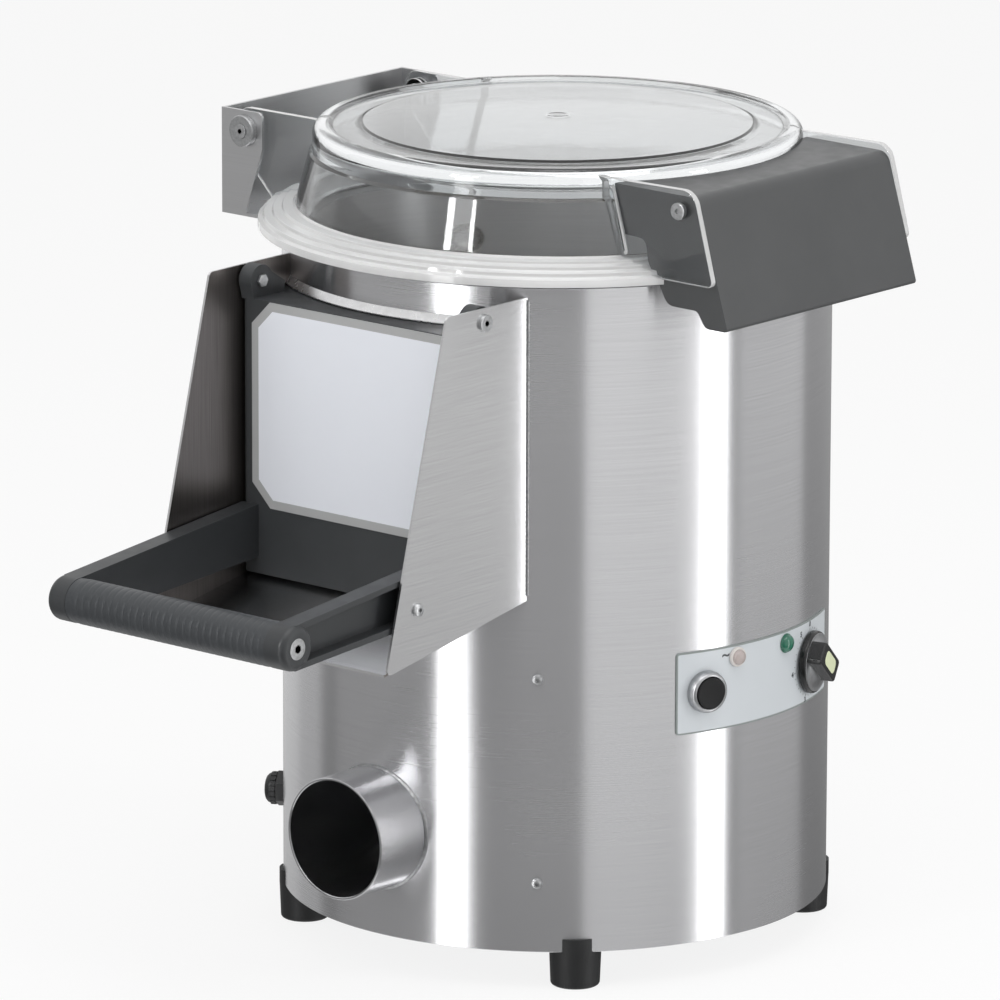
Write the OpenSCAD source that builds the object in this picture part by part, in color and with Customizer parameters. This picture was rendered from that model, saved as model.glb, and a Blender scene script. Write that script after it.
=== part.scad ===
// Electric potato peeler for a table top. Millimetres, +Z up.
// The origin is on the drum's axis at the floor. The operator stands on the -Y side,
// the discharge chute and the drain are on the -X side, and the lid hinges on the +Y side.
// Heights are measured from the casing's lower edge, which stands foot_h above the floor.

/* [Casing] */
// Outside diameter of the casing
casing_d = 324; // [310:1:345]
// Height of the casing
casing_h = 395; // [385:1:410]
// Sheet thickness of the casing
casing_t = 1.5; // [1:0.1:2]
// Rise of the door window's sill over the abrasive plate
sill_rise = 10; // [8:0.5:13]
// Height of the casing's band over the door window
rim_band = 23.5; // [23:0.5:28]
// Width of the door window
window_w = 164; // [140:1:166]
// Reach and thickness of the bright lip over the window
lip_t = 3; // [2:0.1:4]

/* [Feet] */
// Height from the floor to the casing's lower edge
foot_h = 22.5; // [18:0.5:35]
// Diameter of a foot at its top
foot_d = 30.6; // [29:0.2:32]
// Diameter of a foot where it meets the floor
foot_base_d = 29; // [24:0.5:29]
// Distance from the casing's outside to a foot's axis
foot_inset = 12.7; // [12:0.1:13.4]
// Height of the collar that wraps the casing's lower edge
foot_collar_h = 8; // [4:0.5:12]
// Diameter of the locating recess under each foot
foot_recess_d = 11; // [8:0.5:13]
// Depth of the locating recess
foot_recess_h = 8; // [5:0.5:9]

/* [Chamber] */
// Thickness of the abrasive lining
liner_t = 6; // [4:0.5:7]
// Space between the chamber floor and the abrasive plate
plate_clear = 9; // [7:0.5:11]
// Sheet thickness of the chamber floor
pan_t = 3; // [2:0.5:4]
// Height of the abrasive plate's underside
plate_h = 192; // [190:0.5:196]
// Thickness of the abrasive plate
plate_t = 9; // [7:0.5:10]
// How far the plate's three waves rise above it
wave_h = 11; // [8:1:14]
// Radius of the waves
wave_r = 46; // [40:1:60]
// Gap between the plate's edge and the lining
plate_gap = 2.5; // [1.5:0.1:4]

/* [Drive] */
// Diameter of the spindle shaft
shaft_d = 25; // [20:1:28]
// Outside diameter of the spindle bearings
bearing_d = 52; // [46:1:56]
// Width of a spindle bearing
bearing_w = 15; // [12:0.5:16]
// Wall thickness of the bearing housing
housing_t = 7; // [5:0.5:8]
// Space between the driven pulley and the bearing housing
housing_clear = 28; // [16:1:46]
// Diameter of the driven pulley
driven_pulley_d = 140; // [120:1:146]
// Diameter of the motor pulley
motor_pulley_d = 44; // [38:1:52]
// Width of both pulleys
pulley_w = 16; // [12:0.5:17]
// Thickness of the belt
belt_t = 4; // [3:0.2:5]
// Distance between the spindle and the motor
motor_x = 98; // [97:0.5:103]
// Diameter of the motor's body
motor_d = 108; // [96:1:112]
// Height of the motor's body
motor_h = 96; // [80:1:104]
// Diameter of the motor's shaft
motor_shaft_d = 14; // [10:0.5:18]
// Number of cooling fins on the motor
motor_fins = 20; // [12:1:28]

/* [Frame] */
// Thickness of the base plate
base_t = 2; // [1.5:0.1:3]
// Thickness of the motor plate
motor_plate_t = 5; // [4:0.5:6]
// Height of the motor plate's underside
motor_plate_h = 28; // [27:0.5:30]
// Width of a frame post
post_w = 24; // [18:1:28]
// Depth of a frame post
post_depth = 12; // [10:0.5:14]
// Sheet thickness of a frame post
post_t = 2.5; // [2:0.1:3]

/* [Drain] */
// Outside diameter of the drain pipe
drain_d = 72.6; // [66:0.2:76]
// Wall thickness of the drain pipe
drain_t = 1.6; // [1.2:0.1:2.5]
// Height of the drain pipe's axis
drain_h = 64.7; // [62:0.1:68]
// How far the drain pipe stands out of the casing
drain_reach = 35.7; // [25:0.1:45]
// Bend radius of the drain elbow
bend_r = 42; // [41:0.5:46]

/* [Chute] */
// Outside width of the chute
chute_w = 183; // [180:1:188]
// Sheet thickness of the chute
chute_t = 1.5; // [1:0.1:2.5]
// Reach of the chute's sides at the top, from the drum's axis
chute_top_x = 204; // [196:1:214]
// Reach of the chute's tip, from the drum's axis
chute_tip_x = 256; // [246:1:262]
// Drop from the casing's rim to the chute's top
chute_top_drop = 5.4; // [4:0.2:6.4]
// Drop from the window's sill to the chute's tip
chute_tip_drop = 20.3; // [19:0.1:23]
// Slope of the chute's floor, in degrees
chute_slope = 10; // [8:0.5:11]

/* [Door] */
// Distance of the door's front face from the drum's axis
door_front_x = 178; // [176:0.5:181]
// Gap between the door's top edge and the window's top
door_top_gap = 0.3; // [0.3:0.1:2.5]
// Gap between the door and the chute's floor
door_sill_gap = 3; // [2:0.2:5]
// Distance of the door's pivot from the drum's axis
pivot_x = 171.4; // [170:0.2:173]
// Drop from the casing's rim to the door's pivot
pivot_drop = 14; // [13:0.1:15]
// Radius of the round ears at the pivot
ear_r = 9.3; // [8:0.1:10]
// Thickness of the ears
ear_t = 9.5; // [7:0.5:12]
// Diameter of the pivot screws
pivot_d = 6; // [5:0.5:8]
// Distance of the grip bar's axis from the drum's axis
grip_x = 330; // [310:1:345]
// Rise of the grip bar's axis over the window's sill
grip_rise = 9.5; // [5:0.5:15]
// Diameter of the grip bar
grip_d = 26.4; // [24:0.2:30]
// Depth of the grip bar's ribs
grip_rib = 0.5; // [0.2:0.1:0.8]
// Spacing of the grip bar's ribs
grip_pitch = 6.4; // [5:0.1:9]
// Width of a door arm
arm_w = 12.5; // [10:0.5:14]
// Height of a door arm at the door
arm_root_h = 31.5; // [28:0.5:34]
// Flange thickness of a door arm
arm_flange = 3.6; // [3:0.1:5]
// Web thickness of a door arm
arm_web = 4.5; // [3:0.1:6]
// Width of the blank label
label_w = 161; // [140:1:166]
// Rise of the blank label's foot over the window's sill
label_rise = 37; // [36:0.5:48]
// Chamfer at the label's corners
label_chamfer = 14; // [6:0.5:20]

/* [Lid] */
// Height of the seal on the casing's rim
seal_h = 3.1; // [2:0.1:4]
// How far the lid's flange reaches beyond the casing
flange_over = 14; // [12:0.5:15]
// Height of the stepped flange
flange_h = 12.6; // [11:0.2:14]
// Wall thickness of the lid
lid_t = 3; // [2.5:0.1:4]
// How far the foot of the lid's cone stands inside the casing's outside
cone_inset = 8; // [8:0.2:9]
// How far the lid's shoulder stands inside the casing's outside
shoulder_inset = 18; // [16:0.5:20]
// Height of the lid's shoulder above its flange's underside
shoulder_h = 61.6; // [58:0.2:64]
// Radius of the slightly domed middle of the lid
dome_r = 114.3; // [100:0.5:120]
// Rise of the domed middle
dome_rise = 3.6; // [2:0.1:6]
// Width of the lid's handle
lid_handle_w = 173.2; // [160:1:178]
// Wall thickness of the lid's handle
lid_handle_t = 3.5; // [3:0.1:4.5]
// Thickness of the lid's wings
wing_t = 4; // [3:0.1:5]

/* [Hinge] */
// Outside width of the hinge bracket
bracket_w = 161.8; // [156:1:170]
// Sheet thickness of the bracket
bracket_t = 2; // [1.5:0.1:2.5]
// Distance of the bracket's back from the casing
bracket_reach = 30.7; // [29:0.2:36]
// Distance of the hinge's axis from the casing
hinge_out = 12; // [11:0.2:13]
// Rise of the hinge's axis over the casing's rim
hinge_rise = 48; // [46:0.5:50]
// Diameter of the hinge screws
hinge_d = 8; // [6:0.5:9]
// Diameter of the bushes on the bracket's ears
bush_d = 19; // [16:0.5:20]

/* [Controls] */
// Middle of the control plate, degrees round the drum
control_angle = -88.5; // [-92:0.5:-86]
// Width of the control plate along the casing
control_w = 145.5; // [138:0.5:160]
// Height of the control plate
control_plate_h = 49; // [46:0.5:60]
// Drop from the chamber floor to the control plate's middle
control_drop = 28.8; // [26:0.2:34]
// Diameter of the start button's bezel
bezel_d = 25; // [22:0.5:28]
// Diameter of the start button
button_d = 18.6; // [15:0.2:20]
// Travel of the start button
button_travel = 3; // [2:0.5:4]
// Height of the start button's bezel
bezel_h = 6; // [3:0.2:8]
// Diameter of the indicator lamps' collars
lamp_d = 11.6; // [10:0.2:12]
// Rise of the lamps' domes over their collars
lamp_dome_h = 4.4; // [3:0.2:4.6]
// Diameter of the timer knob's skirt
knob_d = 37; // [32:0.5:39]
// Height of the timer knob
knob_h = 14.5; // [12:0.5:24]

/* [Connections] */
// Outside diameter of the water inlet's spigot
inlet_d = 26.4; // [21:0.2:30]
// Length of the water inlet's spigot
inlet_len = 18; // [14:0.5:24]
// Bore of the cable gland
gland_bore_d = 10; // [8:0.2:12]

/* [Hidden] */
$fn = 96;

// Clearances shared by every fit
over = 1;
running = 0.05;
seat = 0.1;
gap = 0.3;

casing_r = casing_d / 2;
casing_in = casing_r - casing_t;
liner_out = casing_in - gap;
liner_in = liner_out - liner_t;
plate_r = liner_in - plate_gap;
plate_top = plate_h + plate_t;
pan_top = plate_h - plate_clear;
pan_h = pan_top - pan_t;
sill_h = plate_top + sill_rise;
window_top = casing_h - rim_band;
window_h = window_top - sill_h;
control_h = pan_h - control_drop;

// Places round the casing, in degrees
foot_angles = [-135, -45, 45, 135];
post_angles = [-143.3, -23.3, 96.7];
inlet_angle = 62;
gland_angle = 120;

// Fasteners
screw_r = 3;
screw_head_r = 5;
screw_head_h = 3;
small_screw_r = 2.4;
small_head_r = 3;
small_head_h = 2;
stop_head_r = 4;
pivot_head_r = 5;
pivot_nut_r = 4;
hinge_head_r = 4.6;
hinge_head_h = 2;
hinge_nut_r = 5.6;
small_screw_len = 10;
socket_r = 2;
socket_depth = 1.6;

// Casing screws stand in columns over the frame posts
screw_drop = 16;
casing_screw_h = [41.6, pan_h - screw_drop];
window_cut = casing_r / 2;

// Feet
foot_round = 2;
foot_screw_depth = 10;
foot_screw_head_h = 4;
foot_circle_r = casing_r - foot_inset;

// Drive, from the base plate upwards
pulley_h = 8;
pulley_rim = 9;
pulley_web = 5;
pulley_hub_t = 10;
pulley_hub_r = shaft_d / 2 + pulley_hub_t;
pulley_grooves = 6;
groove_depth = 1.2;
pulley_holes = 6;
pulley_hole_r = 11;
pulley_hole_share = 0.6;
belt_margin = 2;
shaft_end = 2;
shaft_step = 3;
seal_len = 9;
seal_lip = 1;
bearing_lip = 2;
shield_in = 1;
housing_len = pan_h - pulley_h - pulley_w - housing_clear;
upper_bearing_h = pan_h - seal_len - bearing_w - bearing_lip;
lower_bearing_h = pan_h - housing_len + bearing_lip;
housing_flange = 14;
housing_flange_t = 8;
motor_plate_top = motor_plate_h + motor_plate_t;
plate_hole_gap = 3;
motor_flange_t = 6;
motor_bolt_share = 0.82;
motor_bolt_r = 3.4;
motor_top = motor_plate_top + motor_h;
motor_shaft_end = 1;
fin_depth = 6;
fin_w = 3;
fan_cover_h = 17;
fan_cover_t = 1.5;
fan_slot_w = 5;
fan_slots = 12;
motor_box = [44, 30, 34];
collar_h = 6;
collar_t = 3;
collar_gap = 1.5;
lock_knob_r = 24;
lock_knob_h = 17;
lock_lobes = 6;
lock_lobe_r = 7;
wave_angles = [20, 140, 260];
vent_r = 5;
vent_ring_r = [70, 100];
vent_ring_counts = [14, 20];

// Drain
elbow_lap = 2;
elbow_start = casing_r - elbow_lap;
elbow_x = bend_r - elbow_start;
drain_r = drain_d / 2;
drain_neck_in = 0.4;
drain_neck_r = drain_r - drain_neck_in;
spigot_len = 20;

// Chute and door
chute_half = chute_w / 2;
chute_top_h = casing_h - chute_top_drop;
chute_tip_h = sill_h - chute_tip_drop;
pivot_h = casing_h - pivot_drop;
door_top_h = window_top - door_top_gap;
side_gap = 1.2;
chute_round = 3;
door_half = chute_half - chute_t - side_gap;
door_round = 4;
plug_gap = 2;
plug_sill_gap = 3;
plug_inset = 2;
plug_r = liner_in + plug_inset;
ear_back = 20;
label_t = 0.8;
label_edge = 0.4;
label_h = door_top_h - label_edge - sill_h - label_rise;
arm_root_rise = 22.2;
arm_root_mid_h = sill_h + arm_root_rise;
grip_h = sill_h + grip_rise;
arm_recess_end = 6;
grip_boss_out = 2.2;
grip_round = 4;
grip_screw_len = 30;
grip_head_r = 6.5;
stop_screw_x = 229.1;
stop_screw_rise = 33.2;
stop_screw_h = chute_tip_h + stop_screw_rise;

// Lid
lid_base = casing_h + seal_h + gap;
hinge_h = casing_h + hinge_rise;
flange_r = casing_r + flange_over;
cone_r = casing_r - cone_inset;
shoulder_r = casing_r - shoulder_inset;
lip_gap = 2;
lip_r = liner_in - lip_gap;
lip_h = 6;
rim_h = 4;
shoulder_round = 7;
notch_w = 2;
notch_h = 1.5;
notch_drop = 16.5;
bead_w = 2.5;
ring_drop = 2;
ring_w = 1;
trim_in = 4.5;
trim_y = casing_r - trim_in;
flange_w = flange_r - cone_r;
hinge_y = casing_r + hinge_out;
bracket_back = casing_r + bracket_reach;
bracket_inner = bracket_w / 2 - bracket_t;
wing_boss_t = 1.6;
rear_wing_x = bracket_inner - gap - wing_boss_t;
wing_rise = 13;
wing_reach = 9;
wing_heel_in = 2;
wing_heel_drop = 12;
wing_boss_in = 1;
bracket_rise = 11.8;
bracket_drop = 52;
bracket_notch_drop = 10;
bracket_ear_in = 13.4;
bracket_foot_out = 0.4;
bracket_top_h = hinge_h + bracket_rise;
bracket_base_h = hinge_h - bracket_drop;
bush_t = 4;
bush_round = 0.8;

// The lid's handle hangs from its front, its outline in shares of its depth and rise
lid_handle_reach = 38.8;
lid_handle_drop = 21.4;
lid_handle_depth = 82.8;
lid_handle_rise = 76;
lid_handle_casing_gap = 1.6;
handle_outline_shares = [[0, 0], [0.2, 0], [0.275, 0.125], [0.54, 0.128], [0.7, 0.447],
    [0.72, 0.612], [0.964, 0.625], [1, 1], [0.275, 0.994]];
handle_round_shares = [0.026, 0.07, 0.06, 0.1, 0.12, 0.07, 0.09, 0, 0.11];
pocket_shares = [1.1, -0.1];
wing_outline_shares = [[1.157, 1.039], [0.275, 1.049], [0.094, 0.329], [1.05, 0.334]];
wing_round_shares = [0, 0.12, 0.07, 0];
handle_screw_shares = [0.394, 0.883];

// Stepped flange of the lid, in shares of its width from the cone and of its height
flange_step_shares = [[1, 0.36], [0.87, 0.42], [0.84, 0.62], [0.62, 0.66], [0.59, 0.82],
    [0.36, 0.86], [0.33, 0.98]];

// Controls, as angles from the middle of the plate and heights above its middle
control_t = 0.8;
button_angle = -18.9;
button_rise = 0;
mains_lamp_angle = -10.9;
mains_lamp_rise = 17.2;
run_lamp_angle = 4.4;
run_lamp_rise = 17;
knob_angle = 15.1;
knob_rise = -1;
bezel_round = 2.6;
bezel_lip = 0.8;
barrel_t = 1.4;
barrel_len = 18;
barrel_floor = 2;
button_proud = 0.6;
button_len = 10;
button_stem_r = 3;
button_stem_len = 14;
button_dish = 0.3;
button_edge = 1;
switch_size = [28, 28, 24];
stem_bore_gap = 0.4;
stem_spare = 3.5;
lamp_collar_h = 2.2;
lamp_round = 0.6;
lamp_dome_share = 0.42;
lamp_barrel_share = 0.4;
lamp_barrel_len = 16;
knob_skirt_h = 4.5;
knob_draft = 1;
knob_turn = 51;
knob_round = 2.4;
knob_gap = 0.6;
knob_grip_w = 12;
knob_grip_share = 0.62;
knob_crown_shares = [0.8, 0.5];
knob_crown_h = 3;
knob_inlay_shares = [0.62, 0.58];
knob_inlay_round = 3;
knob_inlay_depth = 0.5;
knob_shaft_r = 3;
knob_shaft_len = 24;
bush_r = 5;
timer_size = [40, 40, 32];
timer_back = 4.5;

// Inner electrics, standing on the motor plate
contactor_at = [-28, 106];
contactor_size = [44, 50, 62];
contactor_step = 12;
capacitor_at = [32, 116];
capacitor_r = 18;
capacitor_h = 78;
capacitor_terminal_r = 3;
capacitor_terminal_h = 9;

// Water inlet and cable gland
inlet_drop = 50;
inlet_h = casing_h - inlet_drop;
inlet_wall = 6;
inlet_flange_r = 18;
inlet_flange_t = 4;
inlet_shank_in = 0.6;
inlet_chamfer = 1;
gland_h = 45;
gland_r = 11;
gland_cap_in = 1;
gland_len = 14;
gland_wall = 3;
gland_barrel_len = 10;
gland_relief = 0.6;

// Round corners for an outline: each corner is replaced by an arc of the given radius
function unit(v) = v / norm(v);
function corner(p, c, n, r, steps) = r == 0 ? [c] :
    let (u = unit(p - c), v = unit(n - c), half = acos(u * v) / 2,
         o = c + unit(u + v) * r / sin(half), reach = r / tan(half),
         s = c + u * reach - o, e = c + v * reach - o,
         from = atan2(s[1], s[0]), sweep = (atan2(e[1], e[0]) - from + 540) % 360 - 180)
    [for (i = [0:steps]) o + r * [cos(from + sweep * i / steps), sin(from + sweep * i / steps)]];
function rounded(pts, radii, steps = 5) = [for (i = [0:len(pts) - 1])
    each corner(pts[(i + len(pts) - 1) % len(pts)], pts[i], pts[(i + 1) % len(pts)],
                radii[i], steps)];
function arc_points(c, r, from, to, steps) = [for (i = [0:steps])
    c + r * [cos(from + (to - from) * i / steps), sin(from + (to - from) * i / steps)]];

// The chute floor's top surface at a distance from the drum's axis
function floor_h(x) = chute_tip_h + (chute_tip_x - x) * tan(chute_slope);

module lift() translate([0, 0, foot_h]) children();

module tube(outer, inner, low, len) {
    translate([0, 0, low]) difference() {
        cylinder(h = len, r = outer);
        translate([0, 0, -over]) cylinder(h = len + 2 * over, r = inner);
    }
}

// An outline in Y and Z, drawn out along +X from x
module x_plate(x, w, pts) {
    translate([x, 0, 0]) rotate([90, 0, 90]) linear_extrude(w) polygon(pts);
}

// An outline in X and Z, drawn out along +Y from y
module y_plate(y, w, pts) {
    translate([0, y + w, 0]) rotate([90, 0, 0]) linear_extrude(w) polygon(pts);
}

// Stand children on the casing's outside: their +Z points away from the drum's axis
module at_wall(angle, h) {
    rotate([0, 0, angle]) translate([casing_r, 0, h]) rotate([0, 90, 0]) children();
}

module at_control(angle, rise) at_wall(control_angle + angle, control_h + rise) children();

module at_button() at_control(button_angle, button_rise) children();

module at_knob() at_control(knob_angle, knob_rise) children();

module at_feet() {
    for (a = foot_angles) rotate([0, 0, a]) translate([foot_circle_r, 0, 0]) children();
}

// A cylinder along +Y, from y
module y_rod(x, y, h, r, len) {
    translate([x, y + len, h]) rotate([90, 0, 0]) cylinder(h = len, r = r);
}

// A cylinder along +X, from x
module x_rod(x, y, h, r, len) {
    translate([x, y, h]) rotate([0, 90, 0]) cylinder(h = len, r = r);
}

module both_sides() {
    children();
    mirror([0, 1, 0]) children();
}

module both_ends() {
    children();
    mirror([1, 0, 0]) children();
}

module window_hole(margin) {
    translate([-casing_r - over, margin - window_w / 2, sill_h + margin])
        cube([window_cut, window_w - 2 * margin, window_h - 2 * margin]);
}

module wall_holes() {
    for (a = post_angles, h = casing_screw_h)
        at_wall(a, h) translate([0, 0, -small_screw_len])
            cylinder(h = small_screw_len + over, r = small_screw_r + seat);
}

module control_holes() {
    at_button() translate([0, 0, -barrel_len])
        cylinder(h = barrel_len + control_t + bezel_h, r = button_d / 2 + gap + barrel_t + seat);
    for (p = [[mains_lamp_angle, mains_lamp_rise], [run_lamp_angle, run_lamp_rise]])
        at_control(p[0], p[1]) translate([0, 0, -lamp_barrel_len])
            cylinder(h = lamp_barrel_len + lamp_collar_h, r = lamp_d * lamp_barrel_share + seat);
    at_knob() translate([0, 0, -timer_back])
        cylinder(h = 2 * timer_back, r = bush_r + seat);
}

// Body of the machine

module casing() {
    color("#c6c8ca") lift() difference() {
        union() {
            tube(casing_r, casing_in, 0, casing_h);
            intersection() {
                tube(casing_r + lip_t, casing_in, window_top, lip_t);
                translate([-casing_r - lip_t, chute_t - chute_half + seat, 0])
                    cube([window_cut, chute_w - 2 * (chute_t + seat), casing_h]);
            }
        }
        window_hole(0);
        x_rod(-casing_r - over, 0, drain_h, drain_neck_r + seat, casing_r / 2);
        wall_holes();
        control_holes();
        at_wall(inlet_angle, inlet_h) translate([0, 0, -casing_r / 4])
            cylinder(h = casing_r / 2, r = inlet_d / 2 - inlet_shank_in + seat);
        at_wall(gland_angle, gland_h) translate([0, 0, -gland_barrel_len])
            cylinder(h = 2 * gland_barrel_len, r = gland_bore_d / 2 + gland_wall + seat);
    }
}

module lid_seal() {
    inner = liner_in + seal_lip;
    color("#2a2b2c") lift() rotate_extrude() polygon([
        [inner, casing_h], [casing_r - seat, casing_h],
        [casing_r - seat, casing_h + seal_h / 2], [casing_in, casing_h + seal_h],
        [liner_out, casing_h + seal_h], [inner, casing_h + seal_h / 2]]);
}

module chamber_liner() {
    color("#8e8a84") lift() difference() {
        tube(liner_out, liner_in, pan_top, casing_h - pan_top);
        window_hole(0);
        at_wall(inlet_angle, inlet_h) translate([0, 0, -casing_r / 4])
            cylinder(h = casing_r / 2, r = inlet_d / 2 - inlet_shank_in + seat);
    }
}

module sump_pan() {
    color("#b7b9bb") lift() {
        difference() {
            union() {
                translate([0, 0, pan_h]) cylinder(h = pan_t, r = liner_out);
                translate([0, 0, pan_top])
                    cylinder(h = collar_h, r = shaft_d / 2 + collar_gap + collar_t);
                translate([elbow_x, 0, pan_h - spigot_len])
                    cylinder(h = spigot_len, r = drain_r - drain_t - seat);
            }
            translate([0, 0, pan_h - over])
                cylinder(h = pan_t + collar_h + 2 * over, r = shaft_d / 2 + collar_gap);
            translate([elbow_x, 0, pan_h - spigot_len - over])
                cylinder(h = spigot_len + pan_t + 2 * over, r = drain_r - 2 * drain_t - seat);
        }
    }
}

// Drain, from the chamber floor to the hose end

module drain_riser() {
    low = drain_h + bend_r + seat;
    color("#a9abad") lift() translate([elbow_x, 0, 0])
        tube(drain_neck_r, drain_r - drain_t, low, pan_h - seat - low);
}

module drain_elbow() {
    color("#a9abad") lift() translate([elbow_x - bend_r, 0, drain_h + bend_r]) rotate([90, 90, 0])
        rotate_extrude(angle = 90) translate([bend_r, 0]) difference() {
            circle(r = drain_neck_r);
            circle(r = drain_r - drain_t);
        }
}

module drain_pipe() {
    color("#a4a6a8") lift() difference() {
        union() {
            x_rod(-casing_r - drain_reach, 0, drain_h, drain_r, drain_reach - gap);
            x_rod(-casing_r - drain_reach, 0, drain_h, drain_neck_r,
                  casing_r + drain_reach - elbow_start - seat);
        }
        x_rod(-casing_r - drain_reach - over, 0, drain_h, drain_r - drain_t,
              casing_r + drain_reach);
    }
}

// Discharge chute, folded from one sheet and welded to the casing

module chute_side() {
    y_plate(-chute_half, chute_t, rounded(
        [[-chute_top_x, chute_top_h], [-window_cut, chute_top_h],
         [-window_cut, floor_h(window_cut) - chute_t], [-chute_tip_x, chute_tip_h - chute_t]],
        [chute_round, 0, 0, chute_round]));
}

module discharge_chute() {
    color("#b9bbbd") lift() difference() {
        union() {
            both_sides() chute_side();
            y_plate(-chute_half + chute_t, chute_w - 2 * chute_t,
                [[-chute_tip_x, chute_tip_h], [-window_cut, floor_h(window_cut)],
                 [-window_cut, floor_h(window_cut) - chute_t],
                 [-chute_tip_x, chute_tip_h - chute_t]]);
        }
        cylinder(h = casing_h + seal_h, r = casing_r + seat);
        both_sides() {
            y_rod(-pivot_x, -chute_half - over, pivot_h, pivot_d / 2 + seat, chute_half);
            y_rod(-stop_screw_x, -chute_half - over, stop_screw_h, small_screw_r + seat, chute_half);
        }
    }
}

module chute_stop_screws() {
    color("#cfd0d1") lift() both_sides() difference() {
        union() {
            y_rod(-stop_screw_x, -chute_half - seat, stop_screw_h, small_screw_r,
                  chute_t + seat + gap);
            y_rod(-stop_screw_x, -chute_half - small_head_h, stop_screw_h, stop_head_r,
                  small_head_h - seat);
        }
        y_rod(-stop_screw_x, -chute_half - small_head_h - over, stop_screw_h, socket_r,
              over + socket_depth);
    }
}

// Hinge bracket for the lid, folded sheet welded to the casing

module bracket_ear() {
    front = hinge_y - bracket_ear_in;
    x_plate(-bracket_w / 2, bracket_t, rounded(
        [[bracket_back, bracket_base_h], [bracket_back, bracket_top_h],
         [front, bracket_top_h], [front, hinge_h - bracket_notch_drop],
         [hinge_y + bracket_foot_out, bracket_base_h]],
        [0, 0, 2 * bracket_t, 2 * bracket_t, 0]));
}

module hinge_bracket() {
    color("#9fa1a3") lift() difference() {
        union() {
            both_ends() bracket_ear();
            translate([-bracket_w / 2, bracket_back - bracket_t, bracket_base_h])
                cube([bracket_w, bracket_t, bracket_top_h - bracket_base_h]);
            translate([-bracket_w / 2, 0, bracket_base_h])
                cube([bracket_w, bracket_back - over, bracket_t]);
        }
        cylinder(h = casing_h + seal_h, r = casing_r + seat);
        x_rod(-bracket_w, hinge_y, hinge_h, hinge_d / 2 + seat, 2 * bracket_w);
    }
}

module hinge_bushes() {
    color("#8d8f91") lift() both_ends() difference() {
        translate([-bracket_w / 2 - bush_t - seat, hinge_y, hinge_h]) rotate([0, 90, 0])
            rotate_extrude() polygon([[0, 0], [bush_d / 2 - bush_round, 0],
                [bush_d / 2, bush_round], [bush_d / 2, bush_t], [0, bush_t]]);
        x_rod(-bracket_w, hinge_y, hinge_h, hinge_d / 2 + seat, bracket_w);
    }
}

module hinge_screws() {
    inner = rear_wing_x - wing_t - 2 * wing_boss_t;
    color("#d2d3d4") lift() both_ends() difference() {
        union() {
            x_rod(-bracket_w / 2 - bush_t - seat - hinge_head_h, hinge_y, hinge_h,
                  hinge_head_r, hinge_head_h - seat);
            x_rod(-bracket_w / 2 - bush_t - hinge_head_h, hinge_y, hinge_h, hinge_d / 2,
                  bracket_w / 2 + bush_t + hinge_head_h - inner);
            x_rod(-inner, hinge_y, hinge_h, hinge_nut_r, hinge_head_h);
        }
        x_rod(-bracket_w, hinge_y, hinge_h, socket_r,
              bracket_w / 2 - bush_t - seat - hinge_head_h + socket_depth);
    }
}

module door_pivot_screws() {
    ear_inner = door_half - ear_t;
    color("#cfd0d1") lift() both_sides() difference() {
        union() {
            y_rod(-pivot_x, -chute_half - small_head_h + seat, pivot_h, pivot_d / 2,
                  chute_half + small_head_h - ear_inner + gap);
            y_rod(-pivot_x, -chute_half - small_head_h, pivot_h, pivot_head_r,
                  small_head_h - seat);
            y_rod(-pivot_x, gap - ear_inner, pivot_h, pivot_nut_r, small_head_h);
        }
        y_rod(-pivot_x, -chute_half - small_head_h - over, pivot_h, socket_r,
              over + socket_depth);
    }
}

module casing_screws() {
    color("#c9cacb") lift() for (a = post_angles, h = casing_screw_h) at_wall(a, h) difference() {
        union() {
            translate([0, 0, seat]) cylinder(h = small_head_h - seat, r = small_head_r);
            translate([0, 0, -2 * post_t - casing_t])
                cylinder(h = 2 * post_t + casing_t + 2 * seat, r = small_screw_r);
        }
        translate([0, 0, small_head_h - socket_depth])
            cylinder(h = socket_depth + over, r = socket_r);
    }
}

// Base

module base_plate() {
    color("#aeb0b2") lift() difference() {
        cylinder(h = base_t, r = casing_in - gap);
        at_feet() translate([0, 0, -over]) cylinder(h = base_t + 2 * over, r = screw_r + seat);
        for (k = [0:len(vent_ring_r) - 1], i = [0:vent_ring_counts[k] - 1])
            rotate([0, 0, 360 * i / vent_ring_counts[k]]) translate([vent_ring_r[k], 0, -over])
                cylinder(h = base_t + 2 * over, r = vent_r);
    }
}

module foot(angle) {
    color("#1d1e1f") rotate([0, 0, angle]) difference() {
        union() {
            translate([foot_circle_r, 0, 0]) rotate_extrude() polygon(concat(
                [[0, 0]],
                arc_points([foot_base_d / 2 - foot_round, foot_round], foot_round, -90, 0, 4),
                [[foot_d / 2, foot_h], [0, foot_h]]));
            difference() {
                translate([foot_circle_r, 0, foot_h - over])
                    cylinder(h = foot_collar_h + over, r = foot_d / 2);
                translate([0, 0, foot_h - 2 * over])
                    cylinder(h = foot_collar_h + 4 * over, r = casing_r + seat);
            }
        }
        translate([foot_circle_r, 0, -over])
            cylinder(h = foot_recess_h + over, r = foot_recess_d / 2);
        translate([foot_circle_r, 0, foot_h - foot_screw_depth])
            cylinder(h = foot_screw_depth + over, r = screw_r + seat);
    }
}

module foot_screws() {
    color("#c9cacb") lift() at_feet() difference() {
        union() {
            translate([0, 0, base_t + seat]) cylinder(h = foot_screw_head_h, r = screw_head_r);
            translate([0, 0, over - foot_screw_depth])
                cylinder(h = foot_screw_depth + base_t, r = screw_r);
        }
        translate([0, 0, base_t + foot_screw_head_h + seat - socket_depth])
            cylinder(h = socket_depth + over, r = socket_r);
    }
}

// Frame inside the casing

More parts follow.
